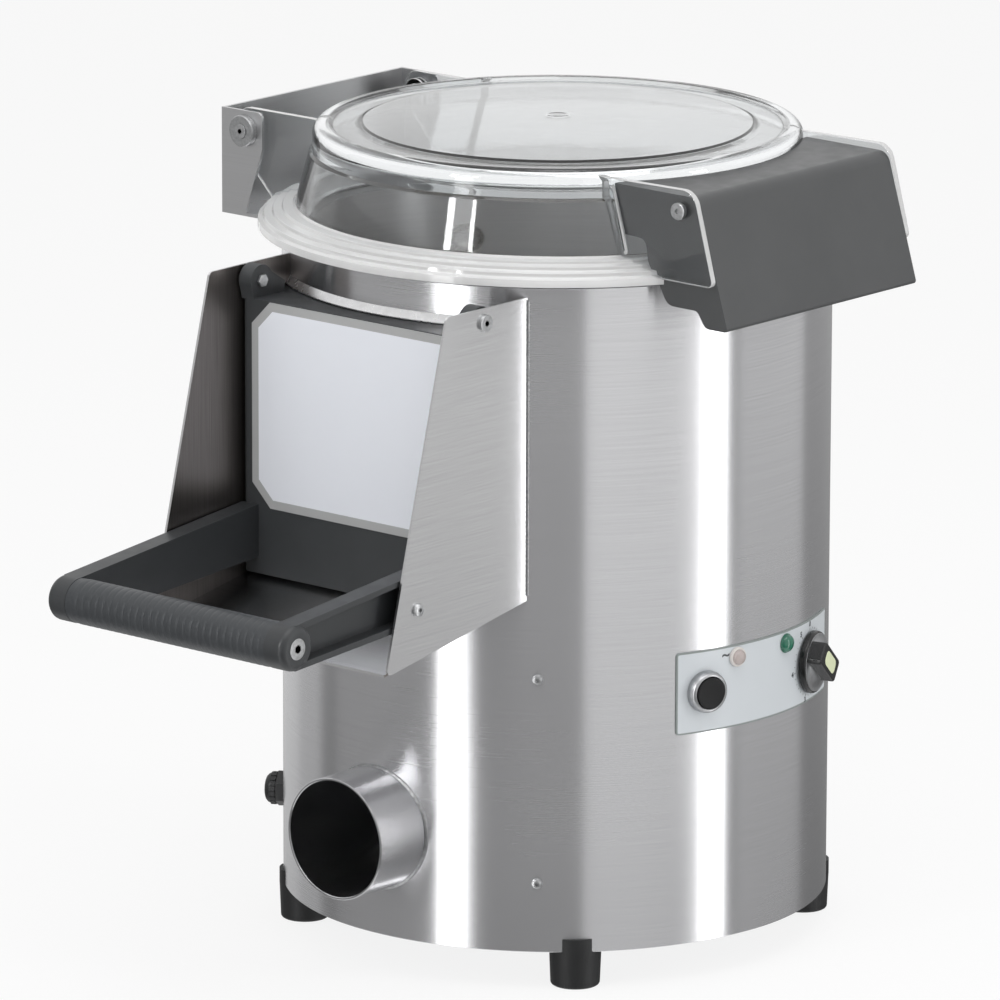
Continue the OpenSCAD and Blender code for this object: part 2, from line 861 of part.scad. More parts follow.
// Folded channel with its flat back to the casing
module frame_post(angle) {
    half = post_w / 2;
    back = sqrt(pow(casing_in - seat, 2) - half * half);
    low = motor_plate_top + seat;
    color("#a2a4a6") lift() rotate([0, 0, angle]) difference() {
        translate([0, 0, low]) linear_extrude(pan_h - seat - low) polygon([
            [back - post_depth, -half], [back, -half], [back, half], [back - post_depth, half],
            [back - post_depth, half - post_t], [back - post_t, half - post_t],
            [back - post_t, post_t - half], [back - post_depth, post_t - half]]);
        for (h = casing_screw_h)
            x_rod(back - 2 * post_t, 0, h, small_screw_r + seat, 4 * post_t);
    }
}

module motor_plate() {
    color("#8f9193") lift() translate([0, 0, motor_plate_h]) difference() {
        cylinder(h = motor_plate_t, r = casing_in - gap);
        translate([0, 0, -over])
            cylinder(h = motor_plate_t + 2 * over, r = bearing_d / 2 + housing_t + plate_hole_gap);
        translate([-casing_r, -drain_r - plate_hole_gap, -over])
            cube([casing_r + elbow_x + drain_r + plate_hole_gap, drain_d + 2 * plate_hole_gap,
                  motor_plate_t + 2 * over]);
        translate([motor_x, 0, -over])
            cylinder(h = motor_plate_t + 2 * over, r = motor_shaft_d / 2 + plate_hole_gap);
        motor_bolt_places() translate([0, 0, -over])
            cylinder(h = motor_plate_t + 2 * over, r = motor_bolt_r + seat);
    }
}

module motor_bolt_places() {
    for (a = [45:90:315]) translate([motor_x, 0, 0]) rotate([0, 0, a])
        translate([motor_d / 2 * motor_bolt_share, 0, 0]) children();
}

// Motor, its shaft pointing down through the motor plate

module motor_housing() {
    core = motor_d / 2 - fin_depth;
    low = motor_plate_top + seat;
    color("#6d7073") lift() difference() {
        union() {
            translate([motor_x, 0, low]) cylinder(h = motor_flange_t, r = motor_d / 2);
            translate([motor_x, 0, low]) cylinder(h = motor_h - seat, r = core);
            translate([motor_x, 0, motor_top - motor_flange_t])
                cylinder(h = motor_flange_t, r = motor_d / 2);
            for (i = [0:motor_fins - 1])
                translate([motor_x, 0, motor_plate_top + 2 * motor_flange_t])
                    rotate([0, 0, 360 * (i + 1 / 2) / motor_fins])
                        translate([core - over, -fin_w / 2, 0])
                            cube([fin_depth - over, fin_w, motor_h - 4 * motor_flange_t]);
            translate([motor_x - motor_box[0] / 2, -core - motor_box[1] / 2,
                       motor_plate_top + motor_h / 2 - motor_box[2] / 2]) cube(motor_box);
        }
        translate([motor_x, 0, motor_plate_h])
            cylinder(h = motor_plate_t + motor_h - motor_flange_t, r = motor_shaft_d / 2 + running);
        motor_bolt_places() translate([0, 0, motor_plate_h])
            cylinder(h = motor_plate_t + 2 * motor_flange_t, r = motor_bolt_r + seat);
    }
}

module motor_fan_cover() {
    outer = motor_d / 2 - fan_cover_t;
    color("#3a3c3e") lift() translate([motor_x, 0, motor_top + seat]) difference() {
        cylinder(h = fan_cover_h, r = outer);
        translate([0, 0, -over])
            cylinder(h = fan_cover_h - fan_cover_t + over, r = outer - fan_cover_t);
        for (i = [0:fan_slots - 1]) rotate([0, 0, 360 * i / fan_slots])
            translate([outer / 4, -fan_slot_w / 2, 0])
                cube([outer / 2, fan_slot_w, fan_cover_h + over]);
    }
}

module motor_bolts() {
    len = motor_plate_t + motor_flange_t + 2 * motor_bolt_r;
    color("#b0b2b4") lift() motor_bolt_places() {
        translate([0, 0, motor_plate_h - seat]) cylinder(h = len - motor_bolt_r, r = motor_bolt_r);
        translate([0, 0, motor_plate_h - seat - motor_bolt_r])
            cylinder(h = motor_bolt_r, r = 2 * motor_bolt_r, $fn = 6);
    }
}

// Spindle bearings under the chamber

module bearing_housing() {
    low = pan_h - housing_len;
    outer = bearing_d / 2 + housing_t;
    color("#77797b") lift() difference() {
        union() {
            translate([0, 0, low]) cylinder(h = housing_len - seat, r = outer);
            translate([0, 0, pan_h - housing_flange_t])
                cylinder(h = housing_flange_t - seat, r = outer + housing_flange);
        }
        translate([0, 0, low - over]) cylinder(h = housing_len + 2 * over, r = bearing_d / 2);
    }
}

module bearing(low) {
    inner = shaft_d / 2 + running;
    outer = bearing_d / 2 - running;
    race = (outer - inner) / 4;
    top = low + bearing_w;
    color("#c3c5c7") lift() rotate_extrude() polygon([
        [inner, low], [inner + race, low], [inner + race, low + shield_in],
        [outer - race, low + shield_in], [outer - race, low], [outer, low], [outer, top],
        [outer - race, top], [outer - race, top - shield_in], [inner + race, top - shield_in],
        [inner + race, top], [inner, top]]);
}

module upper_bearing() bearing(upper_bearing_h);

module lower_bearing() bearing(lower_bearing_h);

module shaft_seal() {
    inner = shaft_d / 2 + running;
    outer = bearing_d / 2 - running;
    low = pan_h - seal_len;
    color("#26272a") lift() rotate_extrude() polygon([
        [inner, low + seal_len / 2], [outer, low], [outer, pan_h - seat],
        [inner + seal_lip, pan_h - seat], [inner, low + seal_len / 2 + seal_lip]]);
}

// Belt round both pulleys, as two arcs joined by straight runs
function belt_loop(grow) =
    let (big = driven_pulley_d / 2 + gap + grow, small = motor_pulley_d / 2 + gap + grow,
         lean = acos((big - small) / motor_x))
    concat(arc_points([0, 0], big, lean, 360 - lean, 60),
           arc_points([motor_x, 0], small, -lean, lean, 30));

module drive_belt() {
    color("#202123") lift() translate([0, 0, pulley_h + belt_margin])
        linear_extrude(pulley_w - 2 * belt_margin) difference() {
            polygon(belt_loop(belt_t));
            polygon(belt_loop(0));
        }
}

// Controls on the casing's front

module control_plate() {
    span = control_w / casing_r * 180 / PI;
    color("#c8ccd2") lift() difference() {
        rotate([0, 0, control_angle - span / 2]) rotate_extrude(angle = span)
            translate([casing_r + seat, control_h - control_plate_h / 2])
                square([control_t, control_plate_h]);
        control_holes();
    }
}

module start_button_bezel() {
    bore = button_d / 2 + gap;
    face = control_t + 2 * seat;
    color("#d8d9da") lift() at_button() difference() {
        union() {
            rotate_extrude() difference() {
                polygon(rounded([[bore, face], [bezel_d / 2, face],
                    [bezel_d / 2, face + bezel_h], [bore, face + bezel_h]],
                    [0, 0, bezel_round, bezel_lip]));
                translate([0, face - over]) square([bore, bezel_h]);
            }
            tube(bore + barrel_t, bore, -barrel_len, barrel_len + face + over);
            translate([0, 0, -barrel_len]) cylinder(h = barrel_floor, r = bore + barrel_t);
        }
        translate([0, 0, -barrel_len - over])
            cylinder(h = barrel_len, r = button_stem_r + stem_bore_gap);
    }
}

module start_switch() {
    stem_room = button_travel + stem_spare;
    color("#d9d6cf") lift() at_button()
        translate([0, 0, -barrel_len - seat - switch_size[2]]) difference() {
            translate([-switch_size[0] / 2, -switch_size[1] / 2, 0]) cube(switch_size);
            translate([0, 0, switch_size[2] - stem_room])
                cylinder(h = stem_room + over, r = button_stem_r + stem_bore_gap);
        }
}

module lamp() {
    base = control_t + 2 * seat;
    dome_r = lamp_d * lamp_dome_share;
    translate([0, 0, base]) rotate_extrude() polygon(concat(
        [[0, -over], [lamp_d * lamp_barrel_share, -over], [lamp_d * lamp_barrel_share, 0],
         [lamp_d / 2, 0], [lamp_d / 2, lamp_collar_h - lamp_round],
         [lamp_d / 2 - lamp_round, lamp_collar_h]],
        [for (a = [0 : 15 : 75]) [dome_r * cos(a), lamp_collar_h + lamp_dome_h * sin(a)]],
        [[0, lamp_collar_h + lamp_dome_h]]));
    translate([0, 0, -lamp_barrel_len])
        cylinder(h = lamp_barrel_len + base - over / 2, r = lamp_d * lamp_barrel_share);
}

module mains_lamp() {
    color("#e8dcd2") lift() at_control(mains_lamp_angle, mains_lamp_rise) lamp();
}

module run_lamp() {
    color("#2f7d4d") lift() at_control(run_lamp_angle, run_lamp_rise) lamp();
}

module timer_body() {
    color("#d9d6cf") lift() at_knob() difference() {
        union() {
            translate([-timer_size[0] / 2, -timer_size[1] / 2, -timer_back - timer_size[2]])
                cube(timer_size);
            translate([0, 0, -timer_back - over])
                cylinder(h = timer_back + over + control_t + seat, r = bush_r);
        }
        translate([0, 0, -knob_shaft_len - over])
            cylinder(h = 2 * knob_shaft_len, r = knob_shaft_r + running);
    }
}

module contactor() {
    color("#cfccc4") lift() translate([contactor_at[0], contactor_at[1], motor_plate_top + seat]) {
        translate([-contactor_size[0] / 2, -contactor_size[1] / 2, 0])
            cube([contactor_size[0], contactor_size[1], contactor_size[2] - contactor_step]);
        translate([-contactor_size[0] / 2, contactor_step - contactor_size[1] / 2, 0])
            cube([contactor_size[0], contactor_size[1] - 2 * contactor_step, contactor_size[2]]);
    }
}

module run_capacitor() {
    color("#dadbdc") lift() translate([capacitor_at[0], capacitor_at[1], motor_plate_top + seat]) {
        cylinder(h = capacitor_h, r = capacitor_r);
        both_sides() translate([0, capacitor_r / 2, capacitor_h - over])
            cylinder(h = capacitor_terminal_h + over, r = capacitor_terminal_r);
    }
}

module water_inlet() {
    outer = inlet_d / 2;
    shank = outer - inlet_shank_in;
    inner = liner_in - casing_r;
    color("#b99b52") lift() at_wall(inlet_angle, inlet_h) difference() {
        union() {
            rotate_extrude() polygon([
                [0, inner], [shank, inner], [shank, inlet_flange_t], [outer, inlet_flange_t],
                [outer, inlet_len - inlet_chamfer], [outer - inlet_chamfer, inlet_len],
                [0, inlet_len]]);
            translate([0, 0, seat]) cylinder(h = inlet_flange_t, r = inlet_flange_r, $fn = 6);
        }
        translate([0, 0, inner - over])
            cylinder(h = inlet_len - inner + 2 * over, r = inlet_d / 2 - inlet_wall);
    }
}

module cable_gland() {
    bore = gland_bore_d / 2;
    color("#2b2c2e") lift() at_wall(gland_angle, gland_h) difference() {
        union() {
            translate([0, 0, seat]) cylinder(h = gland_len / 2, r = gland_r, $fn = 6);
            translate([0, 0, gland_len / 2]) cylinder(h = gland_len / 2, r = gland_r - gland_cap_in);
            translate([0, 0, -gland_barrel_len])
                cylinder(h = gland_barrel_len + gland_len / 2, r = bore + gland_wall);
        }
        cylinder(h = gland_len + over, r = bore);
        translate([0, 0, -gland_barrel_len - over])
            cylinder(h = gland_barrel_len + gland_len / 2 + over, r = bore + gland_relief);
    }
}

// Spindle, which turns the abrasive plate

module spindle_shaft() {
    low = pulley_h - shaft_end;
    color("#b4b6b8") lift() {
        translate([0, 0, low]) cylinder(h = plate_top + shaft_end - low, r = shaft_d / 2);
        translate([0, 0, lower_bearing_h + bearing_w + gap])
            cylinder(h = upper_bearing_h - lower_bearing_h - bearing_w - 2 * gap,
                     r = shaft_d / 2 + shaft_step);
    }
}

module abrasive_plate() {
    color("#6b655e") lift() difference() {
        union() {
            translate([0, 0, plate_h]) cylinder(h = plate_t, r = plate_r);
            intersection() {
                translate([0, 0, plate_h]) cylinder(h = plate_t + 2 * wave_h, r = plate_r);
                for (a = wave_angles) rotate([0, 0, a])
                    x_rod(0, 0, plate_top + wave_h - wave_r, wave_r, casing_r);
            }
        }
        translate([0, 0, plate_h - over])
            cylinder(h = plate_t + 2 * wave_h, r = shaft_d / 2 + seat);
        translate([0, 0, plate_top]) cylinder(h = 2 * wave_h, r = lock_knob_r + seat);
    }
}

module plate_lock_knob() {
    color("#303234") lift() difference() {
        union() {
            translate([0, 0, plate_top + seat])
                cylinder(h = lock_knob_h, r1 = lock_knob_r - lock_lobe_r / 3, r2 = lock_knob_r / 2);
            for (i = [0:lock_lobes - 1]) rotate([0, 0, 360 * i / lock_lobes])
                translate([lock_knob_r - lock_lobe_r, 0, plate_top + seat])
                    cylinder(h = lock_knob_h / 2, r = lock_lobe_r);
        }
        translate([0, 0, plate_h]) cylinder(h = plate_t + shaft_end + over, r = shaft_d / 2 + seat);
    }
}

// A pulley with V grooves round its rim, and a web where its rim is wider than its hub
module pulley(radius, hub, bore) {
    top = pulley_h + pulley_w;
    middle = pulley_h + pulley_w / 2;
    pitch = pulley_w / pulley_grooves;
    rim_in = radius - pulley_rim;
    rotate_extrude() polygon(concat(
        [[bore, pulley_h]],
        rim_in <= hub ? [] : [[hub, pulley_h], [hub, middle - pulley_web / 2],
                              [rim_in, middle - pulley_web / 2], [rim_in, pulley_h]],
        [for (i = [0:pulley_grooves - 1], k = [0:1])
            [radius - k * groove_depth, pulley_h + pitch * (i + k / 2)]],
        [[radius, top]],
        rim_in <= hub ? [] : [[rim_in, top], [rim_in, middle + pulley_web / 2],
                              [hub, middle + pulley_web / 2], [hub, top]],
        [[bore, top]]));
}

module driven_pulley() {
    color("#7e8082") lift() difference() {
        pulley(driven_pulley_d / 2, pulley_hub_r, shaft_d / 2 + seat);
        for (i = [0:pulley_holes - 1]) rotate([0, 0, 360 * i / pulley_holes])
            translate([driven_pulley_d / 2 * pulley_hole_share, 0, pulley_h - over])
                cylinder(h = pulley_w + 2 * over, r = pulley_hole_r);
    }
}

// Rotor of the motor

module motor_shaft() {
    low = pulley_h - motor_shaft_end;
    color("#b4b6b8") lift() translate([motor_x, 0, low])
        cylinder(h = motor_top - 2 * motor_flange_t - low, r = motor_shaft_d / 2);
}

module motor_pulley() {
    color("#7e8082") lift() translate([motor_x, 0, 0])
        pulley(motor_pulley_d / 2, motor_pulley_d / 2, motor_shaft_d / 2 + seat);
}

// Lid, one clear moulding

function lid_outer(grow) = concat(
    [[0, -grow], [flange_r + grow, -grow]],
    [for (s = flange_step_shares) [cone_r + flange_w * s[0] + grow, flange_h * s[1] + grow]],
    [[cone_r + grow, flange_h + grow],
     [shoulder_r + notch_w + grow, shoulder_h - notch_drop - notch_h + grow],
     [shoulder_r + grow, shoulder_h - notch_drop + grow]],
    arc_points([shoulder_r - shoulder_round, shoulder_h - shoulder_round],
               shoulder_round + grow, 0, 90, 5),
    [[shoulder_r - shoulder_round - bead_w, shoulder_h + grow],
     [shoulder_r - shoulder_round - 2 * bead_w, shoulder_h - ring_drop + grow],
     [dome_r + ring_w, shoulder_h - ring_drop + grow], [dome_r, shoulder_h + grow]],
    dome_points(dome_r, dome_rise, shoulder_h + grow));

// Points of a shallow dome from its rim to its middle
function dome_points(r, rise, h) =
    let (ball = (r * r + rise * rise) / (2 * rise), sweep = asin(r / ball))
    [for (i = [1:6]) let (a = sweep * (1 - i / 6)) [ball * sin(a), h + rise - ball + ball * cos(a)]];

function lid_inner() = concat(
    [[0, -lip_h - over], [lip_r - lid_t, -lip_h - over], [lip_r - lid_t, 0],
     [cone_r - lid_t, flange_h],
     [shoulder_r - lid_t, shoulder_h - 2 * shoulder_round],
     [shoulder_r - lid_t, shoulder_h - shoulder_round],
     [shoulder_r - shoulder_round - bead_w, shoulder_h - ring_drop - lid_t],
     [dome_r, shoulder_h - ring_drop - lid_t]],
    dome_points(dome_r, dome_rise, shoulder_h - lid_t));

module lid_solid(grow) {
    translate([0, 0, lid_base]) rotate_extrude() polygon(lid_outer(grow));
}

// A point of the lid's handle in Y and Z, from its shares of the handle's depth and rise
function handle_point(s) = [lid_handle_depth * s[0] - casing_r - lid_handle_reach,
                            lid_base - lid_handle_drop + lid_handle_rise * s[1]];

module front_wing() {
    x_plate(-lid_handle_w / 2 - wing_t, wing_t - seat,
        rounded([for (s = wing_outline_shares) handle_point(s)], wing_round_shares * lid_handle_rise));
}

module rear_wing() {
    top = hinge_h + wing_rise;
    back = hinge_y + wing_reach;
    x_plate(-rear_wing_x, wing_t, rounded(
        [[casing_r / 2, top], [back, top], [back, hinge_h - wing_heel_drop],
         [trim_y - wing_heel_in, lid_base + rim_h], [casing_r / 2, lid_base + rim_h]],
        [0, wing_reach, 2 * wing_t, 0, 0]));
    x_rod(-rear_wing_x - wing_boss_t, hinge_y, hinge_h, bush_d / 2 - wing_boss_in,
          wing_t + 2 * wing_boss_t);
}

module lid() {
    color([0.82, 0.85, 0.87, 0.45]) lift() difference() {
        union() {
            difference() {
                union() {
                    lid_solid(0);
                    translate([0, 0, lid_base - lip_h]) cylinder(h = lip_h + over, r = lip_r);
                }
                translate([-casing_r, trim_y, lid_base - over])
                    cube([casing_d, flange_r, flange_h + 2 * over]);
            }
            both_ends() front_wing();
            both_ends() rear_wing();
        }
        translate([0, 0, lid_base]) rotate_extrude() polygon(lid_inner());
        translate([0, 0, lid_base - over])
            tube(flange_r - lid_t, casing_r + lid_t, 0, rim_h + over);
        x_rod(-bracket_w, hinge_y, hinge_h, hinge_d / 2 + running, 2 * bracket_w);
        x_rod(-lid_handle_w, handle_point(handle_screw_shares)[0],
              handle_point(handle_screw_shares)[1], screw_r + seat, 2 * lid_handle_w);
    }
}

// Handle of the lid, a hollow moulding that is open underneath

module lid_handle() {
    outline = [for (s = handle_outline_shares) handle_point(s)];
    front_low = outline[0];
    front_top = outline[len(outline) - 1];
    lean = unit(front_top - front_low);
    inward = lid_handle_t / lean[1];
    roof = front_top[1] - lid_handle_t;
    low = handle_point(pocket_shares);
    color("#5b5c5d") lift() difference() {
        x_plate(-lid_handle_w / 2, lid_handle_w,
                rounded(outline, handle_round_shares * lid_handle_rise));
        x_plate(lid_handle_t - lid_handle_w / 2, lid_handle_w - 2 * lid_handle_t, [
            [front_low[0] + inward + (low[1] - front_low[1]) * lean[0] / lean[1], low[1]],
            low, [low[0], roof],
            [front_low[0] + inward + (roof - front_low[1]) * lean[0] / lean[1], roof]]);
        lid_solid(seat);
        cylinder(h = lid_base, r = casing_r + lid_handle_casing_gap);
        x_rod(-lid_handle_w, handle_point(handle_screw_shares)[0],
              handle_point(handle_screw_shares)[1], screw_r + seat, 2 * lid_handle_w);
    }
}

module lid_handle_screws() {
    place = handle_point(handle_screw_shares);
    outside = lid_handle_w / 2 + wing_t;
    color("#cfd0d1") lift() both_ends() difference() {
        union() {
            x_rod(-outside - screw_head_h, place[0], place[1], screw_head_r, screw_head_h - seat);
            x_rod(-outside - screw_head_h, place[0], place[1], screw_r,
                  screw_head_h + wing_t + lid_handle_t + seat);
        }
        x_rod(-outside - screw_head_h - over, place[0], place[1], socket_r, over + socket_depth);
    }
}

// Door, its pivots at the top, between the sides of the chute

module door_ear() {
    difference() {
        union() {
            y_rod(-pivot_x, -door_half, pivot_h, ear_r, ear_t);
            y_plate(-door_half, ear_t, [[-pivot_x - ear_r, pivot_h], [-door_front_x, door_top_h - over],
                [ear_back - pivot_x, door_top_h - over], [ear_back - pivot_x, pivot_h - ear_r / 3],
                [-pivot_x, pivot_h + ear_r]]);
        }
        y_rod(-pivot_x, -chute_half, pivot_h, pivot_d / 2 + running, chute_half);
    }
}

module door_panel() {
    sill = floor_h(door_front_x) + door_sill_gap;
    color("#4a4c4e") lift() {
        difference() {
            translate([0, 0, sill]) linear_extrude(door_top_h - sill) polygon(rounded(
                [[-door_front_x, -door_half], [-door_front_x, door_half],
                 [-window_cut, door_half], [-window_cut, -door_half]],
                [door_round, door_round, 0, 0]));
            translate([0, 0, sill - over]) difference() {
                cylinder(h = door_top_h, r = casing_r + gap);
                translate([-casing_r - 2 * over, plug_gap - window_w / 2,
                           sill_h + plug_sill_gap - sill + over])
                    cube([window_cut + 2 * over, window_w - 2 * plug_gap,
                          window_h - 2 * plug_sill_gap]);
            }
            cylinder(h = casing_h, r = plug_r);
            y_plate(-casing_r, casing_d, [[-door_front_x, sill], [-window_cut, sill],
                [-window_cut, floor_h(window_cut) + door_sill_gap]]);
        }
        both_sides() door_ear();
    }
}

// One arm of the door's handle, an open channel on its outer side
module door_arm() {
    inner = door_half - arm_w;
    top = arm_root_mid_h + arm_root_h / 2;
    low = arm_root_mid_h - arm_root_h / 2;
    tail = -door_front_x - seat;
    grip_r = grip_d / 2;
    difference() {
        union() {
            y_plate(-door_half, arm_w, [[tail, low], [tail, top], [-grip_x, grip_h + grip_r],
                                        [-grip_x, grip_h - grip_r]]);
            translate([-grip_x, -inner, grip_h]) rotate([90, 0, 0]) rotate_extrude() polygon(concat(
                [[0, 0], [grip_r, 0]],
                arc_points([grip_r - grip_round, arm_w + grip_boss_out - grip_round],
                           grip_round, 0, 90, 4),
                [[0, arm_w + grip_boss_out]]));
        }
        difference() {
            y_plate(-door_half - over, arm_w - arm_web + over, [
                [tail - arm_recess_end, low + arm_flange], [tail - arm_recess_end, top - arm_flange],
                [-grip_x, grip_h + grip_r - arm_flange], [-grip_x, grip_h - grip_r + arm_flange]]);
            y_rod(-grip_x, -door_half - 2 * over, grip_h, grip_r, arm_w);
        }
        y_rod(-grip_x, -chute_half - arm_w, grip_h, screw_r + seat, chute_half);
        translate([-grip_x, -door_half - grip_boss_out, grip_h]) rotate([-90, 0, 0])
            cylinder(h = grip_head_r - screw_r, r1 = grip_head_r + seat, r2 = screw_r + seat);
    }
}

module door_arm_right() color("#47494c") lift() door_arm();

module door_arm_left() color("#47494c") lift() mirror([0, 1, 0]) door_arm();

module grip_bar() {
    half = door_half - arm_w - seat;
    ribs = floor(2 * half / grip_pitch) - 1;
    start = half - ribs * grip_pitch / 2;
    core = grip_d / 2 - grip_rib;
    color("#3f4245") lift() translate([-grip_x, half, grip_h]) rotate([90, 0, 0]) rotate_extrude()
        polygon(concat([[screw_r + seat, 0], [core, 0]],
            [for (i = [0:ribs - 1], s = [[0, 0], [0.2, 1], [0.7, 1], [0.9, 0]])
                [core + grip_rib * s[1], start + grip_pitch * (i + s[0])]],
            [[core, 2 * half], [screw_r + seat, 2 * half]]));
}

module grip_screws() {
    face = door_half + grip_boss_out;
    color("#cfd0d1") lift() both_sides() difference() {
        union() {
            translate([-grip_x, -face, grip_h]) rotate([-90, 0, 0])
                cylinder(h = grip_head_r - screw_r, r1 = grip_head_r, r2 = screw_r);
            y_rod(-grip_x, -face, grip_h, screw_r, grip_screw_len);
        }
        y_rod(-grip_x, -face - over, grip_h, socket_r, over + socket_depth);
    }
}

module door_label() {
    top = door_top_h - label_edge;
    cut = label_chamfer;
    color("#d9dde4") lift() translate([-door_front_x - seat, 0, 0]) mirror([1, 0, 0])
        x_plate(0, label_t, [
            [-label_w / 2 + cut, top - label_h], [label_w / 2 - cut, top - label_h],
            [label_w / 2, top - label_h + cut], [label_w / 2, top - cut],
            [label_w / 2 - cut, top], [-label_w / 2 + cut, top],
            [-label_w / 2, top - cut], [-label_w / 2, top - label_h + cut]]);
}

// Moving controls

// A bar with rounded corners, from its half length and half width
module bar(half_len, half_w, round_r) {
    polygon(rounded([[-half_len, -half_w], [half_len, -half_w], [half_len, half_w], [-half_len, half_w]],
        [round_r, round_r, round_r, round_r]));
}
module timer_knob() {
    face = control_t + seat + knob_gap;
    reach = knob_d / 2 * knob_grip_share;
    color("#1c1d1e") lift() at_knob() {
        translate([0, 0, face])
            cylinder(h = knob_skirt_h, r1 = knob_d / 2, r2 = knob_d / 2 - knob_draft);
        translate([0, 0, face + knob_skirt_h - over])
            cylinder(h = knob_crown_h, r1 = knob_d / 2 * knob_crown_shares[0],
                r2 = knob_d / 2 * knob_crown_shares[1]);
        translate([0, 0, face + knob_skirt_h - over]) rotate([0, 0, knob_turn]) difference() {
            linear_extrude(knob_h - knob_skirt_h) bar(reach, knob_grip_w / 2, knob_round);
            translate([0, 0, knob_h - knob_skirt_h - knob_inlay_depth])
                linear_extrude(knob_inlay_depth + over) bar(reach * knob_inlay_shares[0],
                    knob_grip_w / 2 * knob_inlay_shares[1], knob_inlay_round);
        }
        translate([0, 0, -knob_shaft_len]) cylinder(h = knob_shaft_len + face + over, r = knob_shaft_r);
    }
}

module start_button() {
    top = control_t + 2 * seat + bezel_h + button_proud;
    color("#2b2b2c") lift() at_button() {
        difference() {
            translate([0, 0, top - button_len]) cylinder(h = button_len, r = button_d / 2);
            translate([0, 0, top - button_dish])
                cylinder(h = 2 * button_dish, r1 = button_d / 4, r2 = button_d / 2 - button_edge);
        }
        translate([0, 0, top - button_len - button_stem_len])
            cylinder(h = button_stem_len + over, r = button_stem_r);
    }
}

casing();
lid_seal();
chamber_liner();
sump_pan();
drain_riser();
drain_elbow();
drain_pipe();
discharge_chute();
chute_stop_screws();
hinge_bracket();
hinge_bushes();
hinge_screws();
door_pivot_screws();
casing_screws();
base_plate();
foot(foot_angles[0]);  // foot_front_left
foot(foot_angles[1]);  // foot_front_right
foot(foot_angles[2]);  // foot_rear_right
foot(foot_angles[3]);  // foot_rear_left
foot_screws();
frame_post(post_angles[0]);  // frame_post_front
frame_post(post_angles[1]);  // frame_post_right
frame_post(post_angles[2]);  // frame_post_rear
motor_plate();
motor_housing();
motor_fan_cover();
motor_bolts();
bearing_housing();
upper_bearing();
lower_bearing();
shaft_seal();
drive_belt();
control_plate();
start_button_bezel();
start_switch();
mains_lamp();
run_lamp();
timer_body();
contactor();
run_capacitor();
water_inlet();
cable_gland();
spindle_shaft();
abrasive_plate();
plate_lock_knob();
driven_pulley();
motor_shaft();
motor_pulley();
lid();
lid_handle();
lid_handle_screws();
door_panel();
door_arm_left();
door_arm_right();
grip_bar();
grip_screws();
door_label();
timer_knob();
start_button();
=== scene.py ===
"""Looks of a table-top electric potato peeler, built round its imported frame.

Lengths in the classes are millimetres, and heights are measured from the casing's lower edge.
Finished meshes are in metres, with the floor at zero.
"""

from __future__ import annotations

import logging
import math
from collections.abc import Callable, Iterable, Sequence
from dataclasses import dataclass
from enum import Enum
from typing import Any

import bmesh
import bpy
from mathutils import Matrix, Vector


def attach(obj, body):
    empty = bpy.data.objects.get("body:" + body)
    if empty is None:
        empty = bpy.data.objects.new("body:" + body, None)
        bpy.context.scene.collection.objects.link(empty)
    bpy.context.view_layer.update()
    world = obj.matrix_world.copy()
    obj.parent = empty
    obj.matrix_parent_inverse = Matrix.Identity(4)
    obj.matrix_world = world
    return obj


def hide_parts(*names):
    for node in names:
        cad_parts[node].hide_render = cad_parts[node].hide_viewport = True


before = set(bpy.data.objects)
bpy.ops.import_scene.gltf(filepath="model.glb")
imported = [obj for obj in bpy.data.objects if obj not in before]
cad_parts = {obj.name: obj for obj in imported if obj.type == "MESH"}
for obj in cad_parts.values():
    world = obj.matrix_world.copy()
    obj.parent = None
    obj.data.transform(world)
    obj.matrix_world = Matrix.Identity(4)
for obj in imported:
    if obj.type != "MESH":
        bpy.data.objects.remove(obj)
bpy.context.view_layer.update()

LOG = logging.getLogger("potato_peeler")
MM = 0.001
FOOT_H = 22.5
CASING_R = 162.0
LID_BASE = 398.4
SEAT = 0.1
MERGE = 0.004
SHARP_ANGLE = math.radians(32.0)
SIDES = (-1, 1)
TO_FLOOR = Matrix.Scale(MM, 4) @ Matrix.Translation((0.0, 0.0, FOOT_H))

BMesh = bmesh.types.BMesh
Node = bpy.types.Node
Part = tuple[BMesh, Matrix]
Place = tuple[float, float, float]
Point = tuple[float, float]
Points = Sequence[Point]
Socket = bpy.types.NodeSocket
Tree = bpy.types.NodeTree


# Node tools


def linear(colour: str) -> tuple[float, float, float, float]:
    """Turns an sRGB hex colour to linear red, green and blue, with an alpha of 1."""
    parts = [int(colour[i : i + 2], 16) / 255 for i in (1, 3, 5)]
    red, green, blue = (c / 12.92 if c <= 0.04045 else ((c + 0.055) / 1.055) ** 2.4 for c in parts)
    return red, green, blue, 1.0


def feed(node: Node, inputs: dict[str | int, Any]) -> None:
    """Sets a node's inputs, each to a constant or to another node's output."""
    for key, value in inputs.items():
        if isinstance(value, Socket):
            node.id_data.links.new(value, node.inputs[key])
        else:
            node.inputs[key].default_value = value


def add(
    tree: Tree, kind: str, inputs: dict[str | int, Any] | None = None, **settings: Any
) -> Node:
    """Adds a node to a tree.

    Args:
        tree: The tree that gets the node.
        kind: The shader node's type.
        inputs: For each socket, a constant or another node's output to link.
        settings: The node's own properties.

    Returns:
        The new node.
    """
    node = tree.nodes.new(f"ShaderNode{kind}")
    for name, value in settings.items():
        setattr(node, name, value)
    feed(node, inputs or {})
    return node


def maths(tree: Tree, operation: str, *terms: Socket | float, **settings: Any) -> Socket:
    """Adds a sum of its terms to a tree, and returns the result."""
    inputs = dict(enumerate(terms))
    return add(tree, "Math", inputs, operation=operation, **settings).outputs[0]


